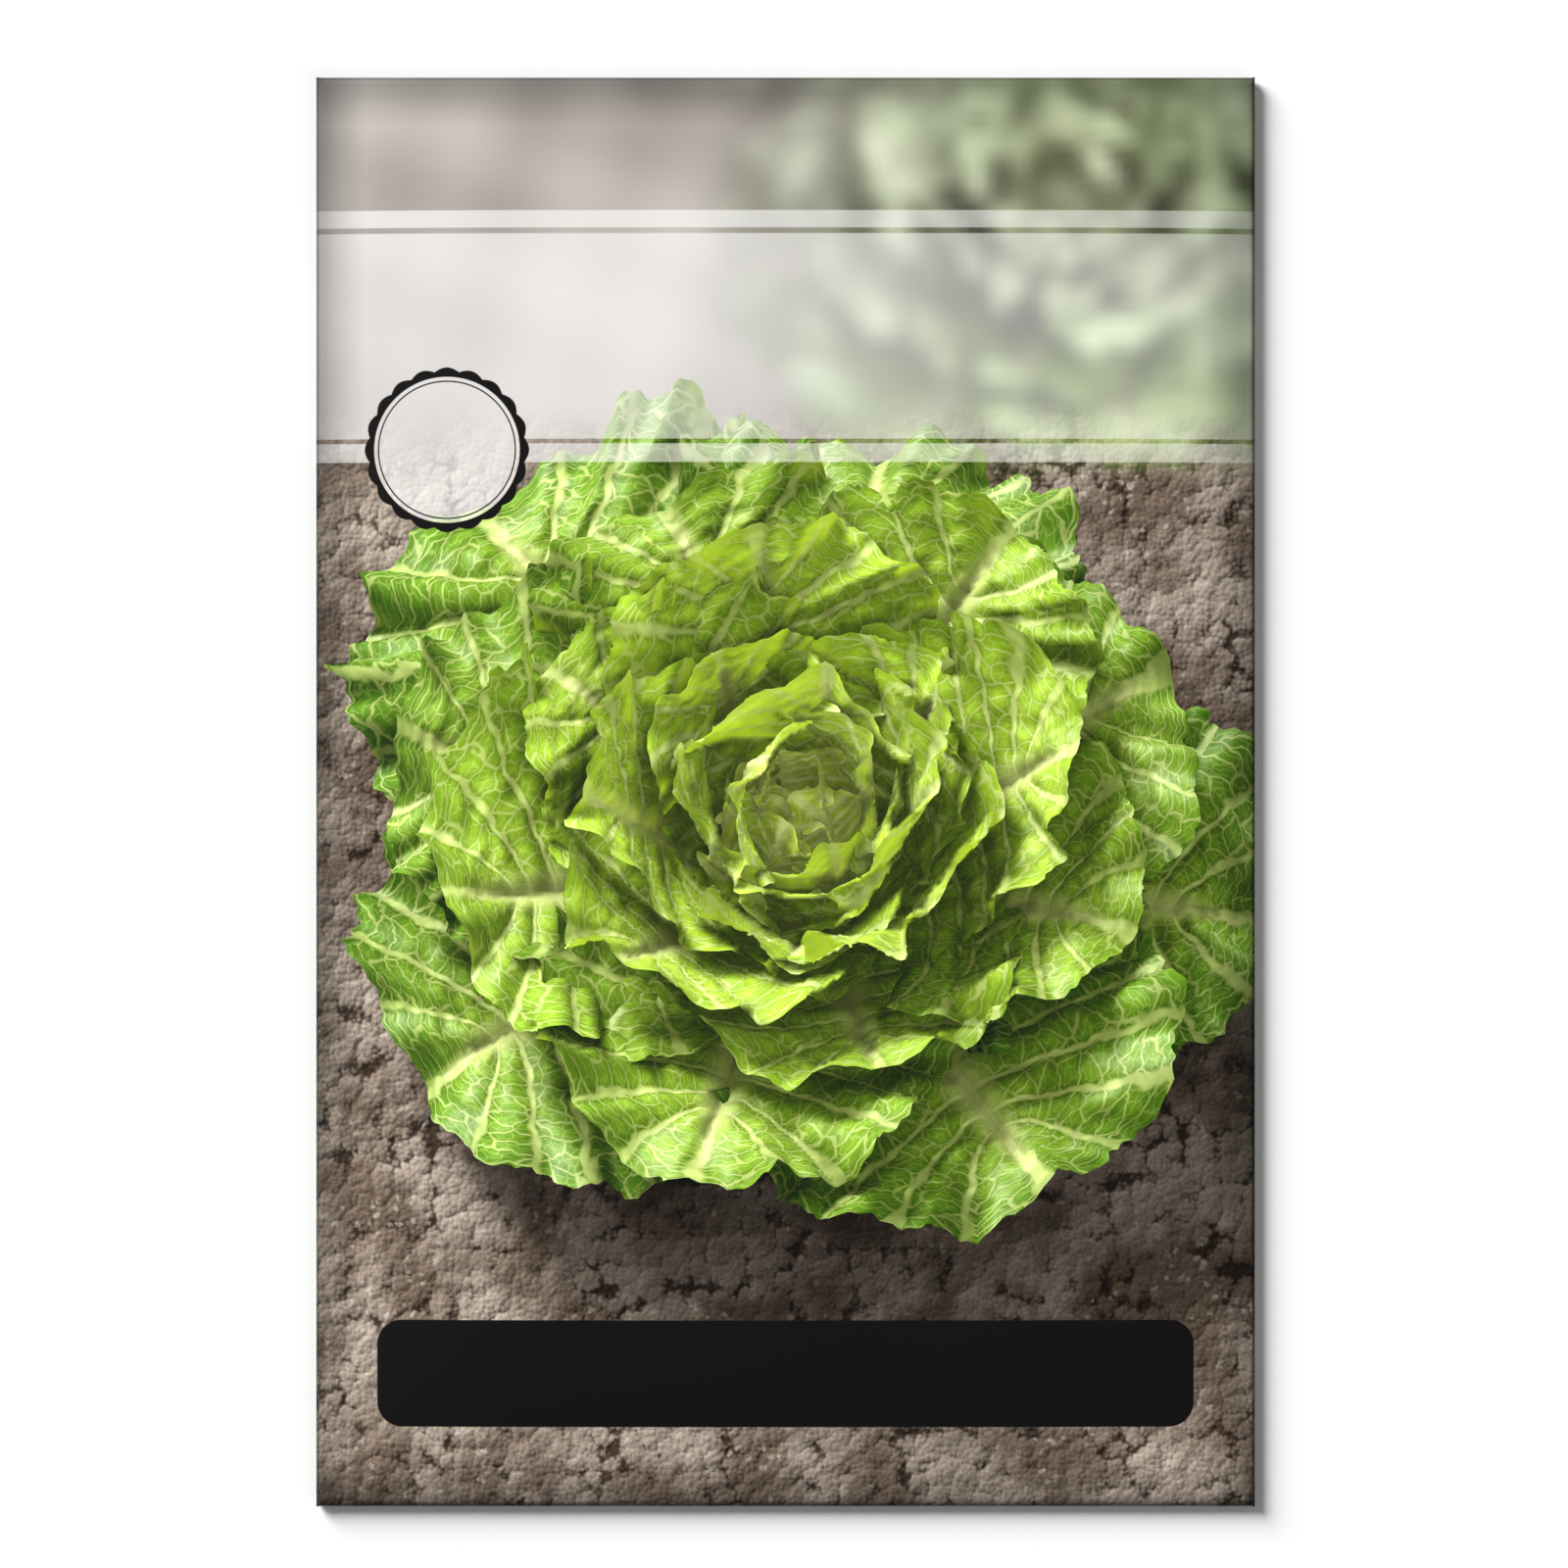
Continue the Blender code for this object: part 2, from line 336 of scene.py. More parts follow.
def leaf_lift(size, round_leaf, out, rib_reach, folds, frills, phase):
    """The height over the flat leaf: folds, frills, pillows between the veins, crinkles and the rib."""
    detail = 0.35 + 0.65 * size
    lift = size * (FOLD_LIFT * np.sin(folds) * out ** 2.0 + FRILL_LIFT * np.sin(frills) * out ** 3.5)
    between_veins = np.abs(np.sin(np.pi * VEINS * round_leaf)) ** 0.8
    lift = lift + size * PILLOW_LIFT * between_veins * np.sin(np.pi * out ** 0.8)
    crinkle = np.sin(detail * (37 * round_leaf + 9 * out) + phase[5])
    crinkle = crinkle * np.sin(detail * (23 * out - 11 * round_leaf))
    quick = np.sin(detail * (61 * round_leaf - 17 * out) + phase[7])
    crinkle = crinkle + quick * np.sin(detail * 31 * out)
    lift = lift + CRINKLE_LIFT * size * crinkle * np.sin(np.pi * out)
    return lift - RIB_DEPTH * size * np.exp(-rib_reach ** 2)


def leaf(age):
    """One leaf: points, and for each its place round the margin, out from the rib, and in the rib's reach.

    Age runs from 0 at the heart to 1 on the outside.
    """
    length = (HEART_LENGTH + (LEAF_LENGTH - HEART_LENGTH) * age ** LEAF_GROWTH) * DRAWS.uniform(*LENGTH_SPREAD)
    size = length / LEAF_LENGTH
    half_width = length * (0.50 + 0.12 * age) * DRAWS.uniform(*WIDTH_SPREAD)
    round_leaf = np.linspace(-1, 1, ALONG_STEPS)[:, None]
    out = np.linspace(0, 1, ACROSS_STEPS)[None, :]
    phase = [DRAWS.uniform(0, math.tau) for _ in range(8)]
    wander = 0.5 * np.sin(3.1 * np.pi * round_leaf + phase[0])
    wander = wander + 0.4 * np.sin(5.3 * np.pi * round_leaf + phase[1])
    folds = (FOLDS[0] + FOLDS[1] * size) * np.pi * round_leaf + 1.6 * wander + phase[2]
    frills = (FRILLS[0] + FRILLS[1] * size) * np.pi * round_leaf + 2.6 * wander + phase[3]
    teeth = np.abs(np.sin(TEETH[0] * np.pi * round_leaf + 3 * wander))
    teeth = teeth + 0.6 * np.abs(np.sin(TEETH[1] * np.pi * round_leaf + phase[4]))
    reach = 1 + FOLD_EDGE * np.sin(folds + 1.1) + FRILL_EDGE * np.sin(frills + 0.9)
    reach = reach + TOOTH_EDGE * (teeth - 0.8)
    along, across = leaf_outline(length, half_width, round_leaf, out, reach)
    rib = 0.35 + 1.9 * (1 - along / length).clip(0, 1) * length / LEAF_LENGTH
    rib_reach = np.abs(across) / rib
    lift = leaf_lift(size, round_leaf, out, rib_reach, folds, frills, phase)
    lift = lift + (CUP[0] - CUP[1] * age) * across ** 2 / half_width
    start = math.radians(LEAN[0] - LEAN[1] * age + DRAWS.uniform(-LEAN[2], LEAN[2]))
    bend = math.radians(BEND[0] - BEND[1] * age + DRAWS.uniform(-BEND[2], BEND[2]))
    turn = start + bend * along / length
    out_from_stem = length / bend * (np.sin(turn) - math.sin(start)) - lift * np.sin(turn)
    height = -length / bend * (np.cos(turn) - math.cos(start)) + lift * np.cos(turn)
    twist = DRAWS.uniform(-TWIST, TWIST)
    height = height + twist * across + 4.5 * (1 - age)
    points = np.stack([out_from_stem + 1.0 + 2.5 * age, across, height + 1.2], axis=-1)
    place = np.stack(np.broadcast_arrays(round_leaf, out, rib_reach), axis=-1)
    return points, place


def lettuce_head():
    """The whole head: corner points, triangles, and for each point (margin, out, rib, age) and its leaf."""
    points, places, faces = [], [], []
    first = 0
    across = np.arange(ACROSS_STEPS - 1)
    for k in range(LEAVES):
        age = k / (LEAVES - 1)
        shape, place = leaf(age)
        angle = k * GOLDEN_ANGLE + DRAWS.uniform(-LEAF_TURN_SPREAD, LEAF_TURN_SPREAD)
        turn = np.array(Matrix.Rotation(angle, 3, "Z"))
        points.append(shape.reshape(-1, 3) @ turn.T)
        mark = np.full(shape.shape[:2] + (2,), (age, k), float)
        places.append(np.concatenate([place, mark], axis=-1).reshape(-1, 5))
        corner = first + (np.arange(ALONG_STEPS - 1)[:, None] * ACROSS_STEPS + across).ravel()
        beside = corner + ACROSS_STEPS
        faces.append(np.stack([corner, beside, corner + 1], axis=-1))
        faces.append(np.stack([corner + 1, beside, beside + 1], axis=-1))
        first += ALONG_STEPS * ACROSS_STEPS
    return np.concatenate(points), np.concatenate(faces), np.concatenate(places)


class Look:
    """What a straight look down on one place of the picture finds."""

    def __init__(self, leaf_number, place, light, gloss):
        self.leaf = leaf_number
        self.place = place
        self.light = light
        self.gloss = gloss


class Picture:
    """Looks at the lettuce from above and a little in front, under one sun and an open sky."""

    def __init__(self):
        self.points, self.faces, self.places = lettuce_head()
        self.tree = BVHTree.FromPolygons(self.points.tolist(), self.faces.tolist(), all_triangles=True)
        a, b, c = (self.points[self.faces[:, k]] for k in range(3))
        flat = np.cross(b - a, c - a)
        self.normals = np.zeros_like(self.points)
        for k in range(3):
            np.add.at(self.normals, self.faces[:, k], flat)
        self.normals /= np.linalg.norm(self.normals, axis=1, keepdims=True) + 1e-12
        self.down = Vector((0, math.sin(LOOK_TILT), -math.cos(LOOK_TILT)))
        self.half = (SUN - self.down).normalized()
        side = SUN.orthogonal().normalized()
        other = SUN.cross(side)
        self.suns = [SUN]
        for k in range(SUN_RAYS - 1):
            angle = math.tau * k / (SUN_RAYS - 1)
            aside = side * math.cos(angle) + other * math.sin(angle)
            self.suns.append((SUN + SUN_SPREAD * aside).normalized())
        self.skies = []
        for k in range(SKY_RAYS):
            height = 1 - (k + 0.5) / SKY_RAYS * 0.92
            level = math.sqrt(1 - height * height)
            angle = k * GOLDEN_ANGLE
            self.skies.append(Vector((level * math.cos(angle), level * math.sin(angle), height)))

    def hit(self, x, y):
        """(point, normal, triangle) in the head's own frame, or the ground's point and None."""
        ground = Vector((x, y / math.cos(LOOK_TILT), 0))
        point, normal, index, _ = self.tree.ray_cast(ground - LOOK_START * self.down, self.down, LOOK_REACH)
        if index is None or point.z < 0:
            return ground, Vector((0, 0, 1)), None
        if normal.dot(self.down) > 0:
            normal = -normal
        return point, normal, index

    def shares(self, point, index):
        """How near the point is to each corner of its triangle."""
        a, b, c = (Vector(self.points[k]) for k in self.faces[index])
        whole = max((b - a).cross(c - a).length, 1e-9)
        first = (b - point).cross(c - point).length / whole
        second = (c - point).cross(a - point).length / whole
        return np.array((first, second, 1 - first - second))

    def leaf_at(self, x, y):
        index = self.hit(x, y)[2]
        return -1 if index is None else int(self.places[self.faces[index][0]][4])

    def open_share(self, origin, directions):
        cast = self.tree.ray_cast
        return sum(cast(origin, d, SHADOW_REACH)[2] is None for d in directions) / len(directions)

    def look(self, x, y):
        point, flat, index = self.hit(x, y)
        normal = flat
        if index is not None:
            shares = self.shares(point, index)
            normal = Vector(shares @ self.normals[self.faces[index]]).normalized()
            if normal.dot(self.down) > 0:
                normal = -normal
        facing = normal.dot(SUN)
        above = point + CLEAR * flat
        lit = self.open_share(above if facing > 0 else point - CLEAR * flat, self.suns)
        skies = [d for d in self.skies if d.dot(normal) > 0.05]
        total = sum(d.dot(normal) for d in self.skies if d.dot(normal) > 0)
        cast = self.tree.ray_cast
        seen = sum(d.dot(normal) for d in skies if cast(above, d, SHADOW_REACH)[2] is None)
        sky = seen / max(total, 1e-6) * (0.55 + 0.45 * max(normal.z, 0))
        gloss = max(normal.dot(self.half), 0) ** GLOSS_FOCUS * lit if facing > 0 else 0.0
        light = (max(facing, 0) * lit, max(-facing, 0) * lit, sky)
        if index is None:
            return Look(-1, (0.0, 0.0, 0.0, 0.0), light, 0.0)
        marks = self.places[self.faces[index]]
        return Look(int(marks[0][4]), tuple(shares @ marks[:, :4]), light, gloss)


def leaf_colour(age, out, rib_reach):
    """A leaf's own colour, without veins."""
    green = blend(HEART_GREEN, YOUNG_GREEN, min(age / YOUNG_AGE, 1))
    green = blend(green, OLD_GREEN, max(0, (age - YOUNG_AGE) / (1 - YOUNG_AGE)) * (0.45 + 0.45 * out))
    return blend(RIB_GREEN, green, min(1, 0.3 * rib_reach + 0.6 * out))


def ground_tone(x, y):
    """Slow changes of the bed from dark to pale, from 0 to 1."""
    slow = math.sin(0.13 * x + 0.07 * y + 1.0) + math.sin(0.09 * y - 0.16 * x + 2.0)
    quick = math.sin(0.41 * x + 0.23 * y) * math.sin(0.37 * y - 0.19 * x)
    return min(max(0.5 + 0.22 * slow + 0.2 * quick, 0), 1)


def lit_colour(found, x, y):
    """A soft colour for one look, as the material would give it."""
    reflect, through, sky = found.light
    if found.leaf < 0:
        base = blend(SOIL_MID, SOIL_PALE, ground_tone(x, y))
        return tuple(c * (BED_SUN * reflect + BED_SKY * sky) for c in base)
    age, out, rib_reach = found.place[3], found.place[1], found.place[2]
    base = leaf_colour(age, out, rib_reach)
    fill = LEAF_FILL + LEAF_SKY * sky + HEART_FILL * max(1 - age / YOUNG_AGE, 0)
    shine = LEAF_GLOSS * found.gloss
    parts = zip(base, SHADE_TINT, GLOW_GREEN)
    lamp = LEAF_SUN * reflect
    glow = LEAF_GLOW * through
    return tuple(c * (lamp + fill * t) + g * glow + shine for c, t, g in parts)


class Canvas:
    """Soft colours on a coarse grid over the whole front, in millimetres."""

    def __init__(self, picture, heads, blur):
        self.xs = np.arange(-CANVAS_HALF[0], CANVAS_HALF[0] + CANVAS_STEP, CANVAS_STEP)
        self.ys = np.arange(-CANVAS_HALF[1], CANVAS_HALF[1] + CANVAS_STEP, CANVAS_STEP)
        self.colours = np.zeros((len(self.ys), len(self.xs), 3))
        for j, y in enumerate(self.ys):
            for i, x in enumerate(self.xs):
                aside = HAZE_RIGHT + (1 - HAZE_RIGHT) * (1 - float(smoothstep(*HAZE_ASIDE, x)))
                far = float(smoothstep(*HAZE_UP, y))
                colour = self.seen(picture, heads, x, y)
                grey = (0.3 * colour[0] + 0.6 * colour[1] + 0.1 * colour[2],) * 3
                mist = blend(HAZE_DARK, HAZE_PALE, ground_tone(x, y))
                colour = blend(colour, grey, HAZE_GREY * far)
                contrast = 1 + (FAR_CONTRAST - 1) * far * (1 - aside)
                colour = tuple(max(FAR_MIDDLE + contrast * (c - FAR_MIDDLE), 0.01) for c in colour)
                self.colours[j, i] = blend(colour, mist, HAZE_SHARE * far * aside)
        reach = int(3 * blur / CANVAS_STEP) + 1
        weights = np.exp(-0.5 * (np.arange(-reach, reach + 1) * CANVAS_STEP / blur) ** 2)
        weights /= weights.sum()
        for axis in (0, 1):
            widths = [(reach, reach) if k == axis else (0, 0) for k in range(3)]
            padded = np.pad(self.colours, widths, mode="edge")
            count = self.colours.shape[axis]
            moved = (np.take(padded, range(k, k + count), axis=axis) for k in range(2 * reach + 1))
            self.colours = sum(weight * part for weight, part in zip(weights, moved))

    def seen(self, picture, heads, x, y):
        found = None
        for centre, scale, flip in heads:
            found = picture.look(flip * (x - centre[0]) / scale, (y - centre[1]) / scale)
            if found.leaf >= 0:
                break
        return lit_colour(found, x, y)

    def at(self, x, y):
        column = min(max((x + CANVAS_HALF[0]) / CANVAS_STEP, 0), len(self.xs) - 1.001)
        row = min(max((y + CANVAS_HALF[1]) / CANVAS_STEP, 0), len(self.ys) - 1.001)
        i, j = int(column), int(row)
        a, b = column - i, row - j
        low = self.colours[j, i] * (1 - a) + self.colours[j, i + 1] * a
        high = self.colours[j + 1, i] * (1 - a) + self.colours[j + 1, i + 1] * a
        return low * (1 - b) + high * b


class PrintMarks:
    """What the front's ink shows at each place: one row for each corner value that the mesh needs."""

    def __init__(self):
        self.picture = Picture()
        self.near = Canvas(self.picture, ((HEAD, 1.0, 1),) + FAR_HEADS, NEAR_BLUR)
        self.far = Canvas(self.picture, FAR_HEADS, FAR_BLUR)
        self.rows = []

    def soft_colour(self, x, y):
        share = float(smoothstep(*FOCUS, y))
        return self.near.at(x, y) * (1 - share) + self.far.at(x, y) * share

    def add(self, x, y, found=None):
        """Marks a place, which is fully soft if nothing sharp was found there."""
        colour = self.soft_colour(x, y)
        if found is None:
            self.rows.append((0, 0, 0, 0, 0, 0, 1, 0, 1, *colour, 1.0))
        else:
            leafy = found.leaf >= 0
            soft = 0.0 if leafy else float(smoothstep(*FOCUS, y))
            margin, out, rib_reach, age = found.place
            self.rows.append((margin, out, rib_reach, age, found.gloss, leafy, *found.light, *colour, soft))
        return len(self.rows) - 1

    def middle_of(self, marks):
        """A mark that is the mean of others."""
        self.rows.append(tuple(np.mean([self.rows[k] for k in marks], axis=0)))
        return len(self.rows) - 1

    def steady_look(self, x, y):
        """A look whose light is evened out with its nearest neighbours on the same leaf."""
        x, y = x - HEAD.x, y - HEAD.y
        found = self.picture.look(x, y)
        near = [self.picture.look(x + dx, y + dy) for dx, dy in STEADY_STEPS]
        same = [found] + [other for other in near if other.leaf == found.leaf]
        found.light = tuple(np.mean([other.light for other in same], axis=0))
        found.gloss = float(np.mean([other.gloss for other in same]))
        return found


# The paper


def rise(distance):
    """Share of the swell at this distance inside a fold, level where it starts."""
    distance = max(distance, 0.0)
    return 1 - math.exp(-distance * distance / (distance + RIM_START) / RIM)


def sway(x, y, run):
    """A slow wave over the front, from its run across, its run along and where it starts."""
    return math.sin(run[0] * x + run[1] * y + run[2])


def front_height(x, y):
    """The front's middle surface: the swell, slow waves, and puckers that run in from the corners."""
    left, right, end = x - LEFT_FOLD, RIGHT_FOLD - x, END_FOLD - abs(y)
    pillow = rise(left) * rise(right) * rise(end)
    across = (x - HEAP.x) / HEAP_REACH.x
    along = (y - HEAP.y) / HEAP_REACH.y
    heap = math.exp(-across * across - along * along)
    wave = WAVE * (1 + sway(x, y, LONG_WAVE) * sway(x, y, CROSS_WAVE))
    corner = math.hypot(min(left, right), end)
    turn = math.atan2(end, max(min(left, right), 1e-6))
    ripple = math.sin(PUCKER_FOLDS * turn + 3 * math.copysign(1, x * y))
    pucker = PUCKER * math.exp(-((corner / PUCKER_REACH - PUCKER_PLACE) ** 2) * 3) * ripple
    return FRONT_Z + pillow * (SWELL + SEED_SWELL * heap - wave - abs(pucker) + 0.3 * pucker)


def front_point(x, y, side):
    """A point on the front's printed face (side 1) or bare face (side -1)."""
    step = SLOPE_STEP
    slope_x = (front_height(x + step, y) - front_height(x - step, y)) / (2 * step)
    slope_y = (front_height(x, y + step) - front_height(x, y - step)) / (2 * step)
    normal = Vector((-slope_x, -slope_y, 1)).normalized()
    return Vector((x, y, front_height(x, y))) + side * PAPER / 2 * normal


def fold_turns():
    return [math.pi * k / FOLD_STEPS for k in range(1, FOLD_STEPS + 1)]


def drawn_out(value, end, reach, turn):
    """A station along a fold, moved out near the corner so that the folds meet there."""
    share = float(smoothstep(end - CORNER_REACH, end, abs(value))) * min(CORNER_FLARE * math.sin(turn), 1)
    return value + math.copysign(reach, value) * share


def corner_cut(distance):
    """How much of a flap's depth its round corner takes at this distance from the flap's side."""
    inside = max(FLAP_CORNER - distance, 0.0)
    return FLAP_CORNER - math.sqrt(FLAP_CORNER ** 2 - inside ** 2)


def side_rows(ys, outward, side):
    """Points of a side fold and of the panel or flap behind it, row by row out to the free edge."""
    left = outward < 0
    fold_line, radius = (LEFT_FOLD, LEFT_RADIUS) if left else (RIGHT_FOLD, RIGHT_RADIUS)
    free_edge = BACK_EDGE if left else RIGHT_FOLD - SIDE_FLAP
    reach = radius + side * PAPER / 2
    rows = []
    for turn in fold_turns():
        x = fold_line + outward * reach * math.sin(turn)
        z = FRONT_Z - radius + reach * math.cos(turn)
        rows.append([(x, drawn_out(y, END_FOLD, END_RADIUS + PAPER / 2, turn), z) for y in ys])
    steps = BACK_STEPS if left else FLAP_STEPS
    for k in range(1, steps + 1):
        share = k / steps
        x = fold_line + (free_edge - fold_line) * share
        taper = 0 if left else FLAP_TAPER * share
        z = FRONT_Z - 2 * radius - side * PAPER / 2
        row = []
        for y in ys:
            belly = BACK_BELLY * math.sin(math.pi * min(share / BELLY_END, 1)) ** 2 if left else 0
            calm = max(1 - (y / (END_FOLD - TOP_FLAP)) ** 2, 0) ** 2
            row.append((x, y * (1 - taper), z + belly * calm))
        rows.append(row)
    return rows


def end_rows(xs, outward, side):
    """Points of the bottom or top fold and of its flap, which has round corners."""
    flap = TOP_FLAP if outward > 0 else BOTTOM_FLAP
    reach = END_RADIUS + side * PAPER / 2
    rows = []
    for turn in fold_turns():
        y = outward * (END_FOLD + reach * math.sin(turn))
        z = FRONT_Z - END_RADIUS + reach * math.cos(turn)
        row = []
        for x in xs:
            side_fold, side_radius = (RIGHT_FOLD, RIGHT_RADIUS) if x > 0 else (-LEFT_FOLD, LEFT_RADIUS)
            row.append((drawn_out(x, side_fold, side_radius + PAPER / 2, turn), y, z))
        rows.append(row)
    for k in range(1, FLAP_STEPS + 1):
        share = k / FLAP_STEPS
        row = []
        for x in xs:
            depth = flap - corner_cut(min(x - LEFT_FOLD, RIGHT_FOLD - x))
            y = outward * (END_FOLD - depth * share)
            row.append((x * (1 - FLAP_TAPER * share), y, FLAP_Z - side * PAPER / 2))
        rows.append(row)
    return rows


class Sheet:
    """The mesh of the folded sheet: its vertices, faces, ink, and what is printed at each face corner."""

    def __init__(self, marks):
        self.marks = marks
        self.points = []
        self.faces = []
        self.inks = []
        self.corner_marks = []
        self.corner_places = []
        self.twins = {}
        self.xs = np.linspace(LEFT_FOLD, RIGHT_FOLD, COLUMNS + 1).tolist()
        low = np.linspace(-END_FOLD, SHARP_LOW, NEAR_ROWS + 1)
        middle = np.linspace(SHARP_LOW, SHARP_HIGH, SHARP_ROWS + 1)[1:]
        high = np.linspace(SHARP_HIGH, END_FOLD, FAR_ROWS + 1)[1:]
        self.ys = np.concatenate([low, middle, high]).tolist()

    def add_point(self, point):
        self.points.append(tuple(point))
        return len(self.points) - 1

    def add_face(self, corners, ink, marks=None, places=None):
        """A face, with a mark and a place on the sheet (millimetres) for each of its corners."""
        self.faces.append(corners)
        self.inks.append(ink)
        self.corner_marks.extend(marks or [0] * len(corners))
        if places is None:
            places = [(self.points[c][0] / MM, self.points[c][1] / MM, 0.0) for c in corners]
        self.corner_places.extend(places)

    def build(self):
        self.print_front()
        self.wrap_round()
        self.line_front()
        self.close_rims()
        return self.as_object()

    def print_front(self):
        """The printed face of the front, cut along the leaves' outlines so that they are crisp."""
        xs, ys = self.xs, self.ys
        self.front = [[self.add_point(front_point(x, y, 1)) for x in xs] for y in ys]
        self.looks = [[self.marks.steady_look(x / MM, y / MM) for x in xs] for y in ys]
        self.sharp = []
        for y, looks in zip(ys, self.looks):
            self.sharp.append([self.marks.add(x / MM, y / MM, found) for x, found in zip(xs, looks)])
        self.soft = {}
        self.cuts = {}
        for j in range(len(ys) - 1):
            for i in range(len(xs) - 1):
                self.print_cell([(i, j), (i + 1, j), (i + 1, j + 1), (i, j + 1)])

    def soft_mark(self, i, j):
        if (i, j) not in self.soft:
            self.soft[i, j] = self.marks.add(self.xs[i] / MM, self.ys[j] / MM)
        return self.soft[i, j]

    def on_border(self, i, j):
        return i in (0, len(self.xs) - 1) or j in (0, len(self.ys) - 1)

    def cut(self, a, b):
        """Where a leaf's outline crosses one grid edge: (vertex, a's mark, b's mark, place)."""
        key = (min(a, b), max(a, b))
        if key not in self.cuts:
            first, last = (self.looks[j][i] for i, j in key)
            (ax, ay), (bx, by) = ((self.xs[i] / MM, self.ys[j] / MM) for i, j in key)
            low, high = 0.0, 1.0
            for _ in range(CUT_HALVINGS):
                middle = (low + high) / 2
                x, y = ax + (bx - ax) * middle, ay + (by - ay) * middle
                if self.marks.picture.leaf_at(x - HEAD.x, y - HEAD.y) == first.leaf:
                    low = middle
                else:
                    high = middle
            share = min(max((low + high) / 2, CUT_MARGIN), 1 - CUT_MARGIN)
            x, y = ax + (bx - ax) * share, ay + (by - ay) * share
            vertex = self.add_point(front_point(x * MM, y * MM, 1))
            marks = []
            for known, nearby in ((first, low), (last, high)):
                sx, sy = ax + (bx - ax) * nearby, ay + (by - ay) * nearby
                found = self.marks.picture.look(sx - HEAD.x, sy - HEAD.y)
                if found.leaf != known.leaf:
                    found = known
                marks.append(self.marks.add(x, y, found))
            self.cuts[key] = (vertex, marks, (x, y, 1.0))
        vertex, marks, place = self.cuts[key]
        return (vertex, marks[0], marks[1], place) if key[0] == a else (vertex, marks[1], marks[0], place)

    def print_cell(self, spots):
        """One cell of the grid, whole where it shows one leaf, else split along the leaves' outlines."""
        vertices = [self.front[j][i] for i, j in spots]
        marks = [self.sharp[j][i] for i, j in spots]
        places = [(self.xs[i] / MM, self.ys[j] / MM, 1.0) for i, j in spots]
        leaves = [self.looks[j][i].leaf for i, j in spots]
        if len(set(leaves)) == 1:
            self.add_face(vertices, FRONT_INK, marks, places)
            return
        sides = [(p, (p + 1) % 4) for p in range(4)]
        changes = [(p, q) for p, q in sides if leaves[p] != leaves[q]]
        border = [self.on_border(*spot) for spot in spots]
        inner = [(p, q) for p, q in changes if not (border[p] and border[q])]
        cuts = {p: self.cut(spots[p], spots[q]) for p, q in inner}
        if len(inner) < len(changes):
            self.print_soft_cell(spots, vertices, places, cuts)
            return
        pieces = []
        for p in sorted(cuts):
            corner = (p + 1) % 4
            piece = [(cuts[p][0], cuts[p][2], cuts[p][3])]
            piece.append((vertices[corner], marks[corner], places[corner]))
            while corner not in cuts:
                corner = (corner + 1) % 4
                piece.append((vertices[corner], marks[corner], places[corner]))
            piece.append((cuts[corner][0], cuts[corner][1], cuts[corner][3]))
            pieces.append(piece)
        if len(pieces) > 2:
            x, y = (sum(cut[3][k] for cut in cuts.values()) / len(cuts) for k in range(2))
            middle = self.add_point(front_point(x * MM, y * MM, 1))
            for piece in pieces:
                piece.append((middle, self.marks.middle_of([piece[0][1], piece[-1][1]]), (x, y, 1.0)))
        for piece in pieces:
            corners, piece_marks, where = ([part[k] for part in piece] for k in range(3))
            self.add_face(corners, FRONT_INK, piece_marks, where)

    def print_soft_cell(self, spots, vertices, places, cuts):
        """A cell where an outline meets the fold, in soft colours."""
        soft = [self.soft_mark(*spot) for spot in spots]
        corners, marks, where = [], [], []
        for p in range(4):
            corners.append(vertices[p])
            marks.append(soft[p])
            where.append(places[p])
            if p in cuts:
                corners.append(cuts[p][0])
                marks.append(self.marks.middle_of([soft[p], soft[(p + 1) % 4]]))
                where.append(cuts[p][3])
        self.add_face(corners, FRONT_INK, marks, where)

    def wrap_round(self):
        """Both faces of the folds, the back panel and the flaps."""
        xs, ys = self.xs, self.ys
        rows_up, columns = range(len(ys)), range(len(xs))
        self.lining = {}
        for j in rows_up:
            for i in columns:
                if self.on_border(i, j):
                    self.lining[i, j] = self.add_point(front_point(xs[i], ys[j], -1))
                    self.twins[self.front[j][i]] = self.lining[i, j]
        edges = (
            ([(0, j) for j in rows_up], lambda side: side_rows(ys, -1, side), False, (-1, 0)),
            ([(len(xs) - 1, j) for j in rows_up], lambda side: side_rows(ys, 1, side), True, (1, 0)),
            ([(i, 0) for i in columns], lambda side: end_rows(xs, -1, side), True, (0, -1)),
            ([(i, len(ys) - 1) for i in columns], lambda side: end_rows(xs, 1, side), False, (0, 1)),
        )
        for spots, rows_of, turned, outward in edges:
            printed = [[self.front[j][i] for i, j in spots]]
            bare = [[self.lining[spot] for spot in spots]]
            for row in rows_of(1):
                printed.append([self.add_point(p) for p in row])
            for row in rows_of(-1):
                bare.append([self.add_point(p) for p in row])
            for outer_row, inner_row in zip(printed, bare):
                self.twins.update(zip(outer_row, inner_row))
            for k in range(len(spots) - 1):
                self.wrap_strip(k, spots[k:k + 2], printed, bare, turned, outward)

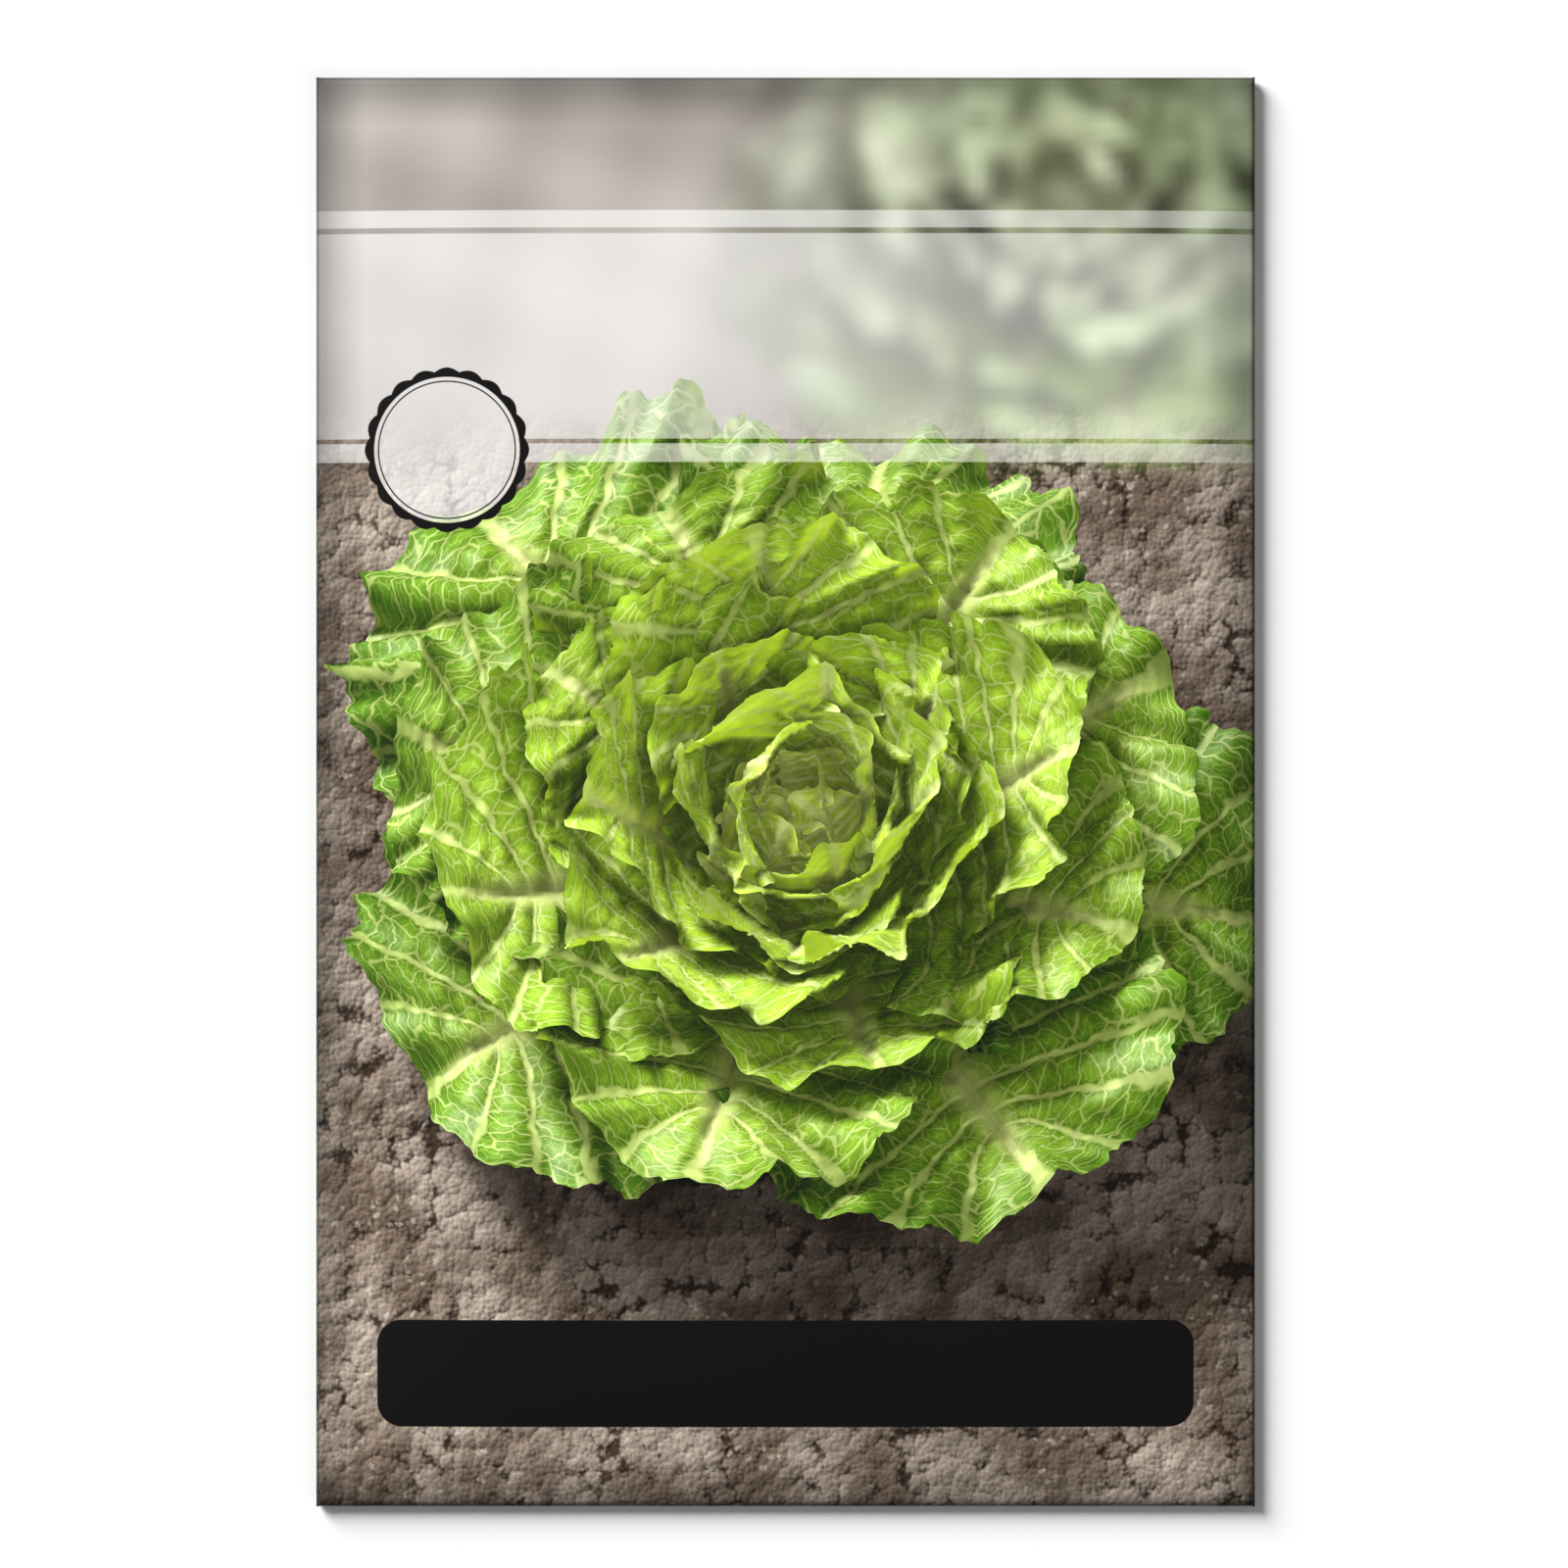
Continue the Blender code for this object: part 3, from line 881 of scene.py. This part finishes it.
    def wrap_strip(self, k, spots, printed, bare, turned, outward):
        """One strip from a border edge of the front round the fold and on to the sheet's free edge."""
        first, last = (self.looks[j][i].leaf for i, j in spots)
        marks = [self.sharp[j][i] if first == last else self.soft_mark(i, j) for i, j in spots]
        for r in range(len(printed) - 1):
            quad = [(r, 0), (r, 1), (r + 1, 1), (r + 1, 0)]
            if turned:
                quad = [quad[0], quad[3], quad[2], quad[1]]
            corners = [printed[row][k + b] for row, b in quad]
            if r < FOLD_STEPS:
                places = []
                for row, b in quad:
                    i, j = spots[b]
                    x = self.xs[i] / MM + outward[0] * FOLD_PRINT_STEP * row
                    y = self.ys[j] / MM + outward[1] * FOLD_PRINT_STEP * row
                    places.append((x, y, 1.0))
                self.add_face(corners, FRONT_INK, [marks[b] for row, b in quad], places)
            else:
                self.add_face(corners, BACK_INK)
            self.add_face([bare[row][k + b] for row, b in reversed(quad)], NO_INK)

    def line_front(self):
        """The bare face of the front, which only the seeds see: few faces, joined to the folds' edge."""
        spots = [(i, 0) for i in range(len(self.xs))]
        spots += [(len(self.xs) - 1, j) for j in range(1, len(self.ys))]
        spots += [(i, len(self.ys) - 1) for i in range(len(self.xs) - 2, -1, -1)]
        spots += [(0, j) for j in range(len(self.ys) - 2, 0, -1)]
        flat = [Vector((self.xs[i], self.ys[j])) for i, j in spots]
        vertices = [self.lining[spot] for spot in spots]
        near = [s * MM for s in LINING_RINGS]
        for x in self.lining_stations(LEFT_FOLD, RIGHT_FOLD, near):
            for y in self.lining_stations(-END_FOLD, END_FOLD, near):
                flat.append(Vector((x, y)))
                vertices.append(self.add_point(front_point(x, y, -1)))
        loop = [(k, (k + 1) % len(spots)) for k in range(len(spots))]
        found = delaunay_2d_cdt([p / MM for p in flat], loop, [], 1, 1e-5)
        where = [min(origins) for origins in found[3]]
        for face in found[2]:
            self.add_face([vertices[where[k]] for k in reversed(face)], NO_INK)

    def lining_stations(self, low, high, near):
        inner_low, inner_high = low + near[-1], high - near[-1]
        count = round((inner_high - inner_low) / INNER_STEP)
        middle = np.linspace(inner_low, inner_high, count + 1)[1:-1].tolist()
        return [low + s for s in near] + middle + [high - s for s in reversed(near)]

    def close_rims(self):
        """The cut edges: bare at the free edges, printed where the folds meet at the corners."""
        borders = {}
        first = 0
        for face, ink in zip(self.faces, self.inks):
            if ink != NO_INK:
                for k in range(len(face)):
                    n = (k + 1) % len(face)
                    borders[face[k], face[n]] = (ink, first + k, first + n)
            first += len(face)
        for (a, b), (ink, at_a, at_b) in sorted(borders.items()):
            if (b, a) in borders:
                continue
            corners = [b, a, self.twins[a], self.twins[b]]
            if ink == FRONT_INK:
                spots = (at_b, at_a, at_a, at_b)
                marks = [self.corner_marks[k] for k in spots]
                self.add_face(corners, FRONT_INK, marks, [self.corner_places[k] for k in spots])
            else:
                self.add_face(corners, NO_INK)

    def as_object(self):
        mesh = bpy.data.meshes.new("printed_envelope")
        mesh.from_pydata(self.points, [], self.faces)
        rows = np.array(self.marks.rows, np.float32)[np.array(self.corner_marks)]
        columns = [(name, rows[:, 3 * k:3 * k + 3]) for k, name in enumerate(MARK_NAMES)]
        columns.append(("sheet", np.array(self.corner_places, np.float32)))
        for name, values in columns:
            layer = mesh.attributes.new(name, "FLOAT_VECTOR", "CORNER")
            layer.data.foreach_set("vector", np.ascontiguousarray(values).ravel())
        soft = mesh.attributes.new("soft", "FLOAT", "CORNER")
        soft.data.foreach_set("value", np.ascontiguousarray(rows[:, 12]))
        for ink in (printed_front(), printed_back(), bare_paper()):
            mesh.materials.append(ink)
        mesh.polygons.foreach_set("material_index", self.inks)
        mesh.shade_smooth()
        mesh.set_sharp_from_angle(angle=SHARP_ANGLE)
        return placed("printed_envelope", mesh)


# Materials


class Tone:
    """One socket of a material. Maths on it is written with operators, and each adds its node."""

    def __init__(self, tree, socket):
        self.tree = tree
        self.socket = socket
        self.wide = socket is not None and socket.type in ("VECTOR", "RGBA")

    def node(self, kind, settings, values, out=0):
        """Adds a node: its settings first, then the values or links of its sockets."""
        made = self.tree.nodes.new(kind)
        for name, value in settings.items():
            setattr(made, name, value)
        for key, value in values.items():
            target = made.inputs[key]
            if isinstance(value, Tone):
                self.tree.links.new(value.socket, target)
            elif target.type == "RGBA":
                target.default_value = (*value, 1.0)
            else:
                target.default_value = value
        return Tone(self.tree, made.outputs[out])

    def work(self, operation, a, b):
        wide = any(isinstance(x, tuple) or isinstance(x, Tone) and x.wide for x in (a, b))
        if not wide:
            return self.node("ShaderNodeMath", {"operation": operation}, {0: a, 1: b})
        a, b = ((x, x, x) if isinstance(x, (int, float)) else x for x in (a, b))
        return self.node("ShaderNodeVectorMath", {"operation": operation}, {0: a, 1: b})

    def __add__(self, other):
        return self.work("ADD", self, other)

    def __radd__(self, other):
        return self.work("ADD", other, self)

    def __sub__(self, other):
        return self.work("SUBTRACT", self, other)

    def __rsub__(self, other):
        return self.work("SUBTRACT", other, self)

    def __mul__(self, other):
        return self.work("MULTIPLY", self, other)

    def __rmul__(self, other):
        return self.work("MULTIPLY", other, self)

    def __truediv__(self, other):
        return self.work("DIVIDE", self, other)

    def __pow__(self, other):
        return self.work("POWER", self, other)

    def __abs__(self):
        return self.node("ShaderNodeMath", {"operation": "ABSOLUTE"}, {0: self})

    def at_least(self, other):
        return self.work("MAXIMUM", self, other)

    def at_most(self, other):
        return self.work("MINIMUM", self, other)

    def math(self, operation, other=0.0):
        return self.node("ShaderNodeMath", {"operation": operation}, {0: self, 1: other})

    def mix(self, other, share):
        """The way from this to other, by share from 0 to 1."""
        if self.wide:
            return self.node("ShaderNodeMix", {"data_type": "RGBA"}, {0: share, 6: self, 7: other}, 2)
        return self.node("ShaderNodeMix", {"data_type": "FLOAT"}, {0: share, 2: self, 3: other})

    def tint(self, low, high):
        """The colour that is this share of the way from low to high."""
        return self.node("ShaderNodeMix", {"data_type": "RGBA"}, {0: self, 6: low, 7: high}, 2)

    def stirred(self, amount, scale, detail):
        """This place, shifted here and there by a noise."""
        values = {"Vector": self, "Scale": scale, "Detail": detail}
        return self + amount * self.node("ShaderNodeTexNoise", {"noise_dimensions": "2D"}, values, 1)

    def ease(self, low, high):
        """0 below low, 1 above high, and smooth between."""
        values = {0: self, 1: low, 2: high}
        return self.node("ShaderNodeMapRange", {"interpolation_type": "SMOOTHSTEP"}, values)

    def part(self, k):
        return self.node("ShaderNodeSeparateXYZ", {}, {0: self}, k)

    def gamma(self, power):
        return self.node("ShaderNodeGamma", {}, {0: self, 1: power})

    def noise(self, scale, detail=3.0, roughness=0.55, space="2D"):
        values = {"Vector": self, "Scale": scale, "Detail": detail, "Roughness": roughness}
        return self.node("ShaderNodeTexNoise", {"noise_dimensions": space}, values)

    def cells(self, scale, feature="F1"):
        """Distance to the nearest cell's middle, or with DISTANCE_TO_EDGE to its border."""
        settings = {"voronoi_dimensions": "2D", "feature": feature}
        return self.node("ShaderNodeTexVoronoi", settings, {"Vector": self, "Scale": scale})


def vector(x, y, z):
    """A vector from three tones or numbers, the first of which is a tone."""
    return x.node("ShaderNodeCombineXYZ", {}, {0: x, 1: y, 2: z})


def finish(name, roughness=0.5, specular=0.5):
    """A material with its one shader, ready to take its colour."""
    material = bpy.data.materials.new(name)
    material.use_nodes = True
    shader = material.node_tree.nodes["Principled BSDF"]
    shader.inputs["Roughness"].default_value = roughness
    shader.inputs["Specular IOR Level"].default_value = specular
    return material, shader, Tone(material.node_tree, None)


def feed(shader, tone, name):
    tone.tree.links.new(tone.socket, shader.inputs[name])


def bump(shader, tone, height_mm):
    """Relief of this height in millimetres, for a tone that runs from 0 to 1."""
    relief = tone.node("ShaderNodeBump", {}, {"Strength": 1.0, "Distance": height_mm * MM, "Height": tone})
    feed(shader, relief, "Normal")


def attribute(start, name, out=1):
    """What the mesh keeps under this name: a vector, or with out=2 a number."""
    return start.node("ShaderNodeAttribute", {"attribute_name": name}, {}, out)


def own_place(start):
    """The place on the piece itself, in metres."""
    return start.node("ShaderNodeTexCoord", {}, {}, 3)


def leaf_lines(sheet, margin, out, age):
    """The side veins with the net between them, the slopes beside a vein, and the pillows in the net."""
    veins_run = margin * VEINS + VEIN_WANDER * (sheet.noise(0.35, 2.0) - 0.5)
    from_vein = 0.5 - abs(veins_run.math("FRACT") - 0.5)
    grown = 0.35 + 0.65 * age.ease(0.0, 0.8)
    vein = (1 - (from_vein * grown).ease(*VEIN_WIDTH)) * (1.0 - 0.45 * out)
    net_place = vector(veins_run * grown * 1.5 + 61.0 * age, out * grown * 10.0 + 90.0 * age, 0.0)
    net_place = net_place + 0.25 * sheet.noise(0.8, 2.0)
    coarse = 1 - net_place.cells(1.0, "DISTANCE_TO_EDGE").ease(*NET_WIDTH)
    fine = 1 - net_place.cells(FINE_NET, "DISTANCE_TO_EDGE").ease(0.0, 0.12)
    lines = vein.at_least(0.62 * coarse).at_least(0.28 * fine)
    flank = 1 - from_vein.ease(0.05, 0.24)
    return lines, flank, net_place.cells(1.0).ease(0.0, 0.7)


def leaf_ink(start, sheet):
    """The lettuce leaves: blade, midrib, side veins and the net between, in the light that falls there."""
    place = attribute(start, "leaf_place")
    state = attribute(start, "leaf_state")
    light = attribute(start, "leaf_light")
    margin, out, rib_reach = (place.part(k) for k in range(3))
    age, gloss = state.part(0), state.part(1)
    sun, glow, sky = (light.part(k) for k in range(3))
    lines, flank, pillows = leaf_lines(sheet, margin, out, age)
    young = age.ease(0, YOUNG_AGE)
    green = young.tint(HEART_GREEN, YOUNG_GREEN)
    green = green.mix(OLD_GREEN, age.ease(YOUNG_AGE, 1.0) * (0.45 + 0.45 * out))
    green = green * (0.80 + 0.40 * sheet.noise(0.9, 3.0))
    green = green * (1.0 - 0.30 * flank * (1 - lines))
    vein_green = age.ease(0.1, 0.9).tint(YOUNG_VEIN, RIB_GREEN)
    green = green.mix(vein_green, lines * 0.80)
    green = green * (1.14 - 0.32 * pillows)
    rib = 1 - rib_reach.ease(*RIB_WIDTH)
    pale = (1 - (0.3 * rib_reach + 0.6 * out).at_most(1.0)) * 0.9
    green = green.mix(RIB_GREEN, pale.at_least(rib * 0.9))
    fibres = vector(rib_reach * 3.0, out * 4.0 + 40.0 * age, 0.0).noise(2.0, 3.0)
    green = green * (1.0 - 0.22 * rib * fibres)
    fill = LEAF_FILL + LEAF_SKY * sky + HEART_FILL * (1 - young)
    through = LEAF_GLOW * glow * (1 - 0.45 * lines)
    lit = green * (LEAF_SUN * sun + fill * SHADE_TINT) + through * GLOW_GREEN
    shine = gloss * (0.35 + 1.1 * sheet.noise(1.6, 3.0)) * LEAF_GLOSS
    return lit + shine * (1.0, 1.0, 0.92)


def bed_relief(spot):
    """The height of the bed's clods, crumbs and grains at a place on the sheet."""
    bent = spot.stirred(0.9, 0.7, 2.0)
    clods = 1 - bent.cells(CLODS).ease(0.1, 1.0)
    crumbs = 1 - bent.cells(CRUMBS).ease(0.05, 0.95)
    grains = 1 - spot.cells(GRAINS).ease(0.1, 0.9)
    return 0.30 * clods + 0.42 * crumbs + 0.14 * grains + 0.40 * spot.noise(0.8, 4.0, 0.6)


def bed_ink(start, sheet):
    """The bed that the lettuce grows in: pale dry crumbs, lit from the upper left."""
    light = attribute(start, "leaf_light")
    here = bed_relief(sheet)
    there = bed_relief(sheet + BED_LAMP_STEP)
    lift = (0.5 + 2.6 * (here - there)).at_least(0.04)
    tone = sheet.noise(0.10, 3.0)
    base = tone.ease(0.34, 0.66).tint(SOIL_MID, SOIL_PALE)
    base = base.mix(SOIL_DARK, (1 - here.ease(0.37, 0.68)) * 0.85)
    grit = 1 - sheet.stirred(0.7, 1.6, 1.0).cells(0.75).ease(0.10, 0.26)
    grit = grit * sheet.noise(0.25, 2.0).ease(0.50, 0.60)
    base = base.mix(GRIT, grit * 0.55)
    base = base * (0.75 + 0.5 * sheet.noise(3.5, 3.0))
    sun = BED_SUN * light.part(0) * (0.25 + 1.5 * lift)
    return base * (sun + BED_SKY * light.part(2) * (0.7 + 0.6 * lift))


def ink_edge(distance):
    """1 where the distance in millimetres is negative, with the edge that a press leaves."""
    return 1 - distance.ease(-INK_EDGE, INK_EDGE)


def between(value, low, high):
    return ink_edge(low - value) * ink_edge(value - high)


def from_round_box(x, y, centre, half, corner):
    """Distance in millimetres out from a box with round corners, negative inside it."""
    across = (abs(x - centre[0]) - (half[0] - corner)).at_least(0.0)
    along = (abs(y - centre[1]) - (half[1] - corner)).at_least(0.0)
    return (across * across + along * along).math("SQRT") - corner


def edge_shade(x, y):
    """Painted shade along the front's four edges, where the swollen packet curves down: a soft dark border and
    a darker last line. Gives the share of the colour that stays.
    """
    keep = 1.0
    for value, half in ((x, cad_high[0] / MM), (y, cad_high[1] / MM)):
        inside = (half - abs(value)).at_least(0.0)
        fade = (1 - inside / SHADE_REACH).at_least(0.0)
        line = (-1.0 * (inside / EDGE_SHADE_LINE_REACH) ** 2.0).math("EXPONENT")
        keep = keep * (1 - EDGE_SHADE * fade ** 1.2) * (1 - EDGE_SHADE_LINE * line)
    return keep


def title_band(x, y):
    """The share of white in the title band, which thins to the right and leaves its two rules bare."""
    band = between(y, BAND_BOTTOM, BAND_TOP)
    rules = between(y, *RULE_TOP) + between(y, *RULE_BOTTOM)
    return (BAND_VEIL - BAND_THINNING * x) * band * (1 - rules)


def badge(x, y):
    """The round badge: its pale field, and its black scalloped edge and thin ring."""
    bx, by = x - BADGE_CENTRE[0], y - BADGE_CENTRE[1]
    radius = (bx * bx + by * by).math("SQRT")
    lobes = abs((by.math("ARCTAN2", bx) * (BADGE_LOBES / 2)).math("COSINE"))
    disc = ink_edge(radius - BADGE_HOLLOWS - (BADGE_TIPS - BADGE_HOLLOWS) * lobes)
    field = ink_edge(radius - BADGE_INNER)
    ring = between(radius, BADGE_RING - BADGE_RING_WIDTH / 2, BADGE_RING + BADGE_RING_WIDTH / 2)
    return field, (disc - field).at_least(ring)


def printed_front():
    """The front: the picture, with the title band, the round badge and the name plate left bare."""
    material, shader, start = finish("printed_front", specular=0.15)
    sheet = attribute(start, "sheet")
    x, y = sheet.part(0), sheet.part(1)
    leafy = attribute(start, "leaf_state").part(2)
    soft = attribute(start, "soft", 2)
    picture = bed_ink(start, sheet).mix(leaf_ink(start, sheet), leafy.ease(0.4, 0.6))
    picture = picture.mix(attribute(start, "soft_colour"), soft)
    ink = (picture.gamma(1 / SCREEN_GAMMA) - 0.5) * CONTRAST + (0.5 - DARKER)
    ink = ink.at_least(LEAST_INK)
    field, black = badge(x, y)
    veil = title_band(x, y) * (1 - field) + BADGE_VEIL * field
    ink = ink.mix(VEIL_WHITE, veil)
    plate = ink_edge(from_round_box(x, y, PLATE_CENTRE, PLATE_HALF, PLATE_CORNER))
    black = black.at_least(plate).at_most(1.0)
    ink = ink.mix(INK_SCREEN, black)
    # The ink takes painted shade along the front's edges
    feed(shader, (ink * edge_shade(x, y)).gamma(SCREEN_GAMMA), "Base Color")
    grain = sheet.noise(9.0, 1.0)
    feed(shader, 0.64 + 0.10 * grain - 0.04 * black, "Roughness")
    bump(shader, 0.5 * grain + 0.5 * sheet.noise(1.2, 2.0), 0.008)
    return material


def box_line(x, y, centre, half, corner, width):
    """A thin round-cornered frame."""
    return ink_edge(abs(from_round_box(x, y, centre, half, corner)) - width / 2)


def printed_back():
    """The back: plain pale stock with blank ruled fields, and flaps in a soft green."""
    material, shader, start = finish("printed_back", specular=0.2)
    sheet = attribute(start, "sheet")
    x, y = sheet.part(0), sheet.part(1)
    flap_edge = (END_FOLD - TOP_FLAP) / MM
    foot_edge = -(END_FOLD - BOTTOM_FLAP) / MM
    lines = box_line(x, y, *BACK_FRAME)
    rule_length, rule_width = BACK_RULE_HALF
    for level in BACK_RULES:
        rule = between(y, level - rule_width, level + rule_width) * between(x, -rule_length, rule_length)
        lines = lines.at_least(rule)
    for centre in FIELD_CENTRES:
        lines = lines.at_least(box_line(x, y, (centre, FIELD_LEVEL), *FIELD))
    fibre = sheet.noise(2.2, 5.0)
    flaps = 1 - y.ease(foot_edge + 0.02, foot_edge + 0.08)
    flaps = flaps.at_least(y.ease(flap_edge - 0.08, flap_edge - 0.02))
    flap_line = between(abs(y), flap_edge + FLAP_LINE[0], flap_edge + FLAP_LINE[1])
    green = fibre.tint(*FLAP_GREEN).mix(FLAP_LINE_PALE, flap_line * y.ease(0.0, 0.1))
    colour = fibre.tint(*STOCK).mix(BACK_LINE_GREEN, lines * 0.9).mix(green, flaps)
    feed(shader, colour, "Base Color")
    feed(shader, 0.64 + 0.14 * fibre, "Roughness")
    bump(shader, fibre, 0.010)
    return material


def bare_paper():
    """The inside of the sheet and its cut edges: uncoated white fibres."""
    material, shader, start = finish("bare_paper", specular=0.25)
    place = own_place(start)
    fibre = place.noise(900.0, 6.0, 0.65, "3D")
    specks = place.noise(4200.0, 3.0, space="3D")
    shade = fibre.mix(specks, 0.4)
    colour = shade.ease(0.3, 0.7).tint(*BARE_PAPER)
    feed(shader, colour, "Base Color")
    feed(shader, 0.72 + 0.18 * specks, "Roughness")
    bump(shader, fibre, 0.02)
    return material


def dried_glue():
    """Thin dried paste with faint streaks."""
    material, shader, start = finish("dried_glue")
    place = own_place(start)
    streaks = (place * (1.0, 3.5, 1.0)).noise(420.0, 4.0, space="3D")
    colour = streaks.ease(0.35, 0.65).tint(*PASTE)
    feed(shader, colour, "Base Color")
    feed(shader, 0.35 + 0.35 * streaks, "Roughness")
    bump(shader, streaks, 0.015)
    return material


def seed_coat():
    """Dark ribbed seed coats with paler specks of wear."""
    material, shader, start = finish("seed_coat", specular=0.3)
    place = own_place(start)
    tint = place.noise(330.0, 2.0, space="3D")
    speckle = place.noise(5200.0, 4.0, space="3D")
    colour = tint.ease(0.35, 0.65).tint(*SEED_BROWN)
    colour = colour.mix(SEED_WEAR, speckle.ease(0.55, 0.75) * 0.6)
    feed(shader, colour, "Base Color")
    feed(shader, 0.55 + 0.3 * speckle, "Roughness")
    bump(shader, speckle, 0.03)
    return material


# The seeds


def one_seed(length, half_width, half_height):
    """A lettuce seed: a flat spindle, pointed at both ends, with fine ribs along it."""
    points, faces = [], []
    for k in range(1, SEED_RINGS):
        along = k / SEED_RINGS
        fat = math.sin(math.pi * along ** 0.8) ** 0.75
        for s in range(SEED_SIDES):
            turn = math.tau * s / SEED_SIDES
            ribbed = fat * (1 if s % 2 else SEED_GROOVE)
            across, up = half_width * ribbed * math.cos(turn), half_height * ribbed * math.sin(turn)
            points.append(((along - 0.5) * length, across, up))
    foot, tip = len(points), len(points) + 1
    points += [(-length / 2, 0, 0), (length / 2, 0, 0)]
    last = (SEED_RINGS - 2) * SEED_SIDES
    for s in range(SEED_SIDES):
        n = (s + 1) % SEED_SIDES
        faces.append((foot, n, s))
        faces.append((tip, last + s, last + n))
        for ring in range(SEED_RINGS - 2):
            a = ring * SEED_SIDES
            faces.append((a + s, a + n, a + SEED_SIDES + n, a + SEED_SIDES + s))
    return points, faces


def seed_spots(low, high):
    """Where each seed lies and which way it points: level layers of a heap, no two seeds touching."""
    draws = random.Random(7)
    middle = (low + high) / 2
    half = (high - low) / 2
    along = SEED_BODY[:, None] * SEED_LENGTH
    spots = []
    level = low.z + SEED_HALF_HEIGHT
    while level + SEED_HALF_HEIGHT < high.z:
        up = (level - SEED_HALF_HEIGHT - low.z) / (high.z - low.z)
        reach = math.sqrt(1 - up) * (half.x - SEED_LENGTH / 2)
        layer = np.zeros((0, 2))
        for _ in range(SEED_TRIES):
            share = reach * math.sqrt(draws.random())
            angle = draws.uniform(0, math.tau)
            heading = draws.uniform(0, math.tau)
            x = middle.x + share * math.cos(angle)
            y = middle.y + share * math.sin(angle) * half.y / half.x
            body = np.array((x, y)) + along * np.array((math.cos(heading), math.sin(heading)))
            gaps = np.linalg.norm(body[:, None] - layer[None], axis=2)
            if gaps.size == 0 or gaps.min() > SEED_APART * SEED_HALF_WIDTH:
                layer = np.concatenate([layer, body])
                spots.append((Vector((x, y, level)), heading))
        level += SEED_LAYER
    return spots


def loose_seeds():
    """The seeds in the packet, each one whole."""
    draws = random.Random(8)
    points, faces = [], []
    for spot, heading in seed_spots(*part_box("lettuce_seeds")):
        size = draws.uniform(*SEED_SIZES)
        seed, sides = one_seed(size * SEED_LENGTH, size * SEED_HALF_WIDTH, SEED_HALF_HEIGHT)
        turn = Matrix.Rotation(heading, 3, "Z")
        first = len(points)
        points += [spot + turn @ Vector(p) for p in seed]
        faces += [tuple(first + k for k in side) for side in sides]
    mesh = bpy.data.meshes.new("loose_seeds")
    mesh.from_pydata(points, [], faces)
    mesh.shade_smooth()
    mesh.materials.append(seed_coat())
    return placed("loose_seeds", mesh)


# The stage


def add_lamp(name, strength, place):
    """Broad soft light from the side where this place is."""
    lamp = bpy.data.lights.new(name, "SUN")
    lamp.energy = strength
    lamp.angle = SOFTNESS
    placed(name, lamp).rotation_euler = Vector(place).to_track_quat("Z", "Y").to_euler()


def pale_floor():
    """The floor that the packet lies on, a hair under its back."""
    mesh = bpy.data.meshes.new("floor")
    corners = [(x * FLOOR_HALF, y * FLOOR_HALF, 0) for x, y in ((-1, -1), (1, -1), (1, 1), (-1, 1))]
    mesh.from_pydata(corners, [], [(0, 1, 2, 3)])
    material, shader, start = finish("floor", roughness=0.9, specular=0.0)
    shader.inputs["Base Color"].default_value = FLOOR_WHITE
    mesh.materials.append(material)
    floor = placed("floor", mesh)
    floor.location.z = -FLOOR_GAP


def open_sky():
    """Even white light from all round."""
    world = bpy.data.worlds.new("studio")
    world.use_nodes = True
    background = world.node_tree.nodes["Background"]
    background.inputs["Color"].default_value = (1.0, 1.0, 1.0, 1.0)
    background.inputs["Strength"].default_value = SKY_STRENGTH
    bpy.context.scene.world = world


def straight_down():
    """The camera right above, placed so that the packet falls where the photograph has it."""
    lens = bpy.data.cameras.new("camera")
    lens.lens = LENS
    lens.sensor_width = SENSOR
    camera = placed("camera", lens)
    middle_x = (PICTURE_PIXELS / 2 - PACKET_PIXEL[0]) / PIXELS_PER_MM * MM
    middle_y = (PACKET_PIXEL[1] - PICTURE_PIXELS / 2) / PIXELS_PER_MM * MM
    distance = PICTURE_PIXELS / PIXELS_PER_MM * MM * LENS / SENSOR
    camera.location = (middle_x, middle_y, FRONT_Z - END_RADIUS + distance)
    bpy.context.scene.camera = camera


def stage():
    """A white floor, soft light from the upper left, and a camera straight above."""
    bpy.context.scene.view_settings.view_transform = "Standard"
    pale_floor()
    open_sky()
    add_lamp("key", KEY_STRENGTH, KEY_FROM)
    add_lamp("fill", FILL_STRENGTH, FILL_FROM)
    straight_down()


def main():
    stage()
    envelope = Sheet(PrintMarks()).build()
    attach(envelope, "root")
    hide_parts("paper_envelope")
    seeds = loose_seeds()
    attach(seeds, "root")
    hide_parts("lettuce_seeds")
    glue = dried_glue()
    for name in ("side_seam_glue", "bottom_flap_glue", "top_flap_glue"):
        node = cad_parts[name]
        node.data.materials.clear()
        node.data.materials.append(glue)


main()
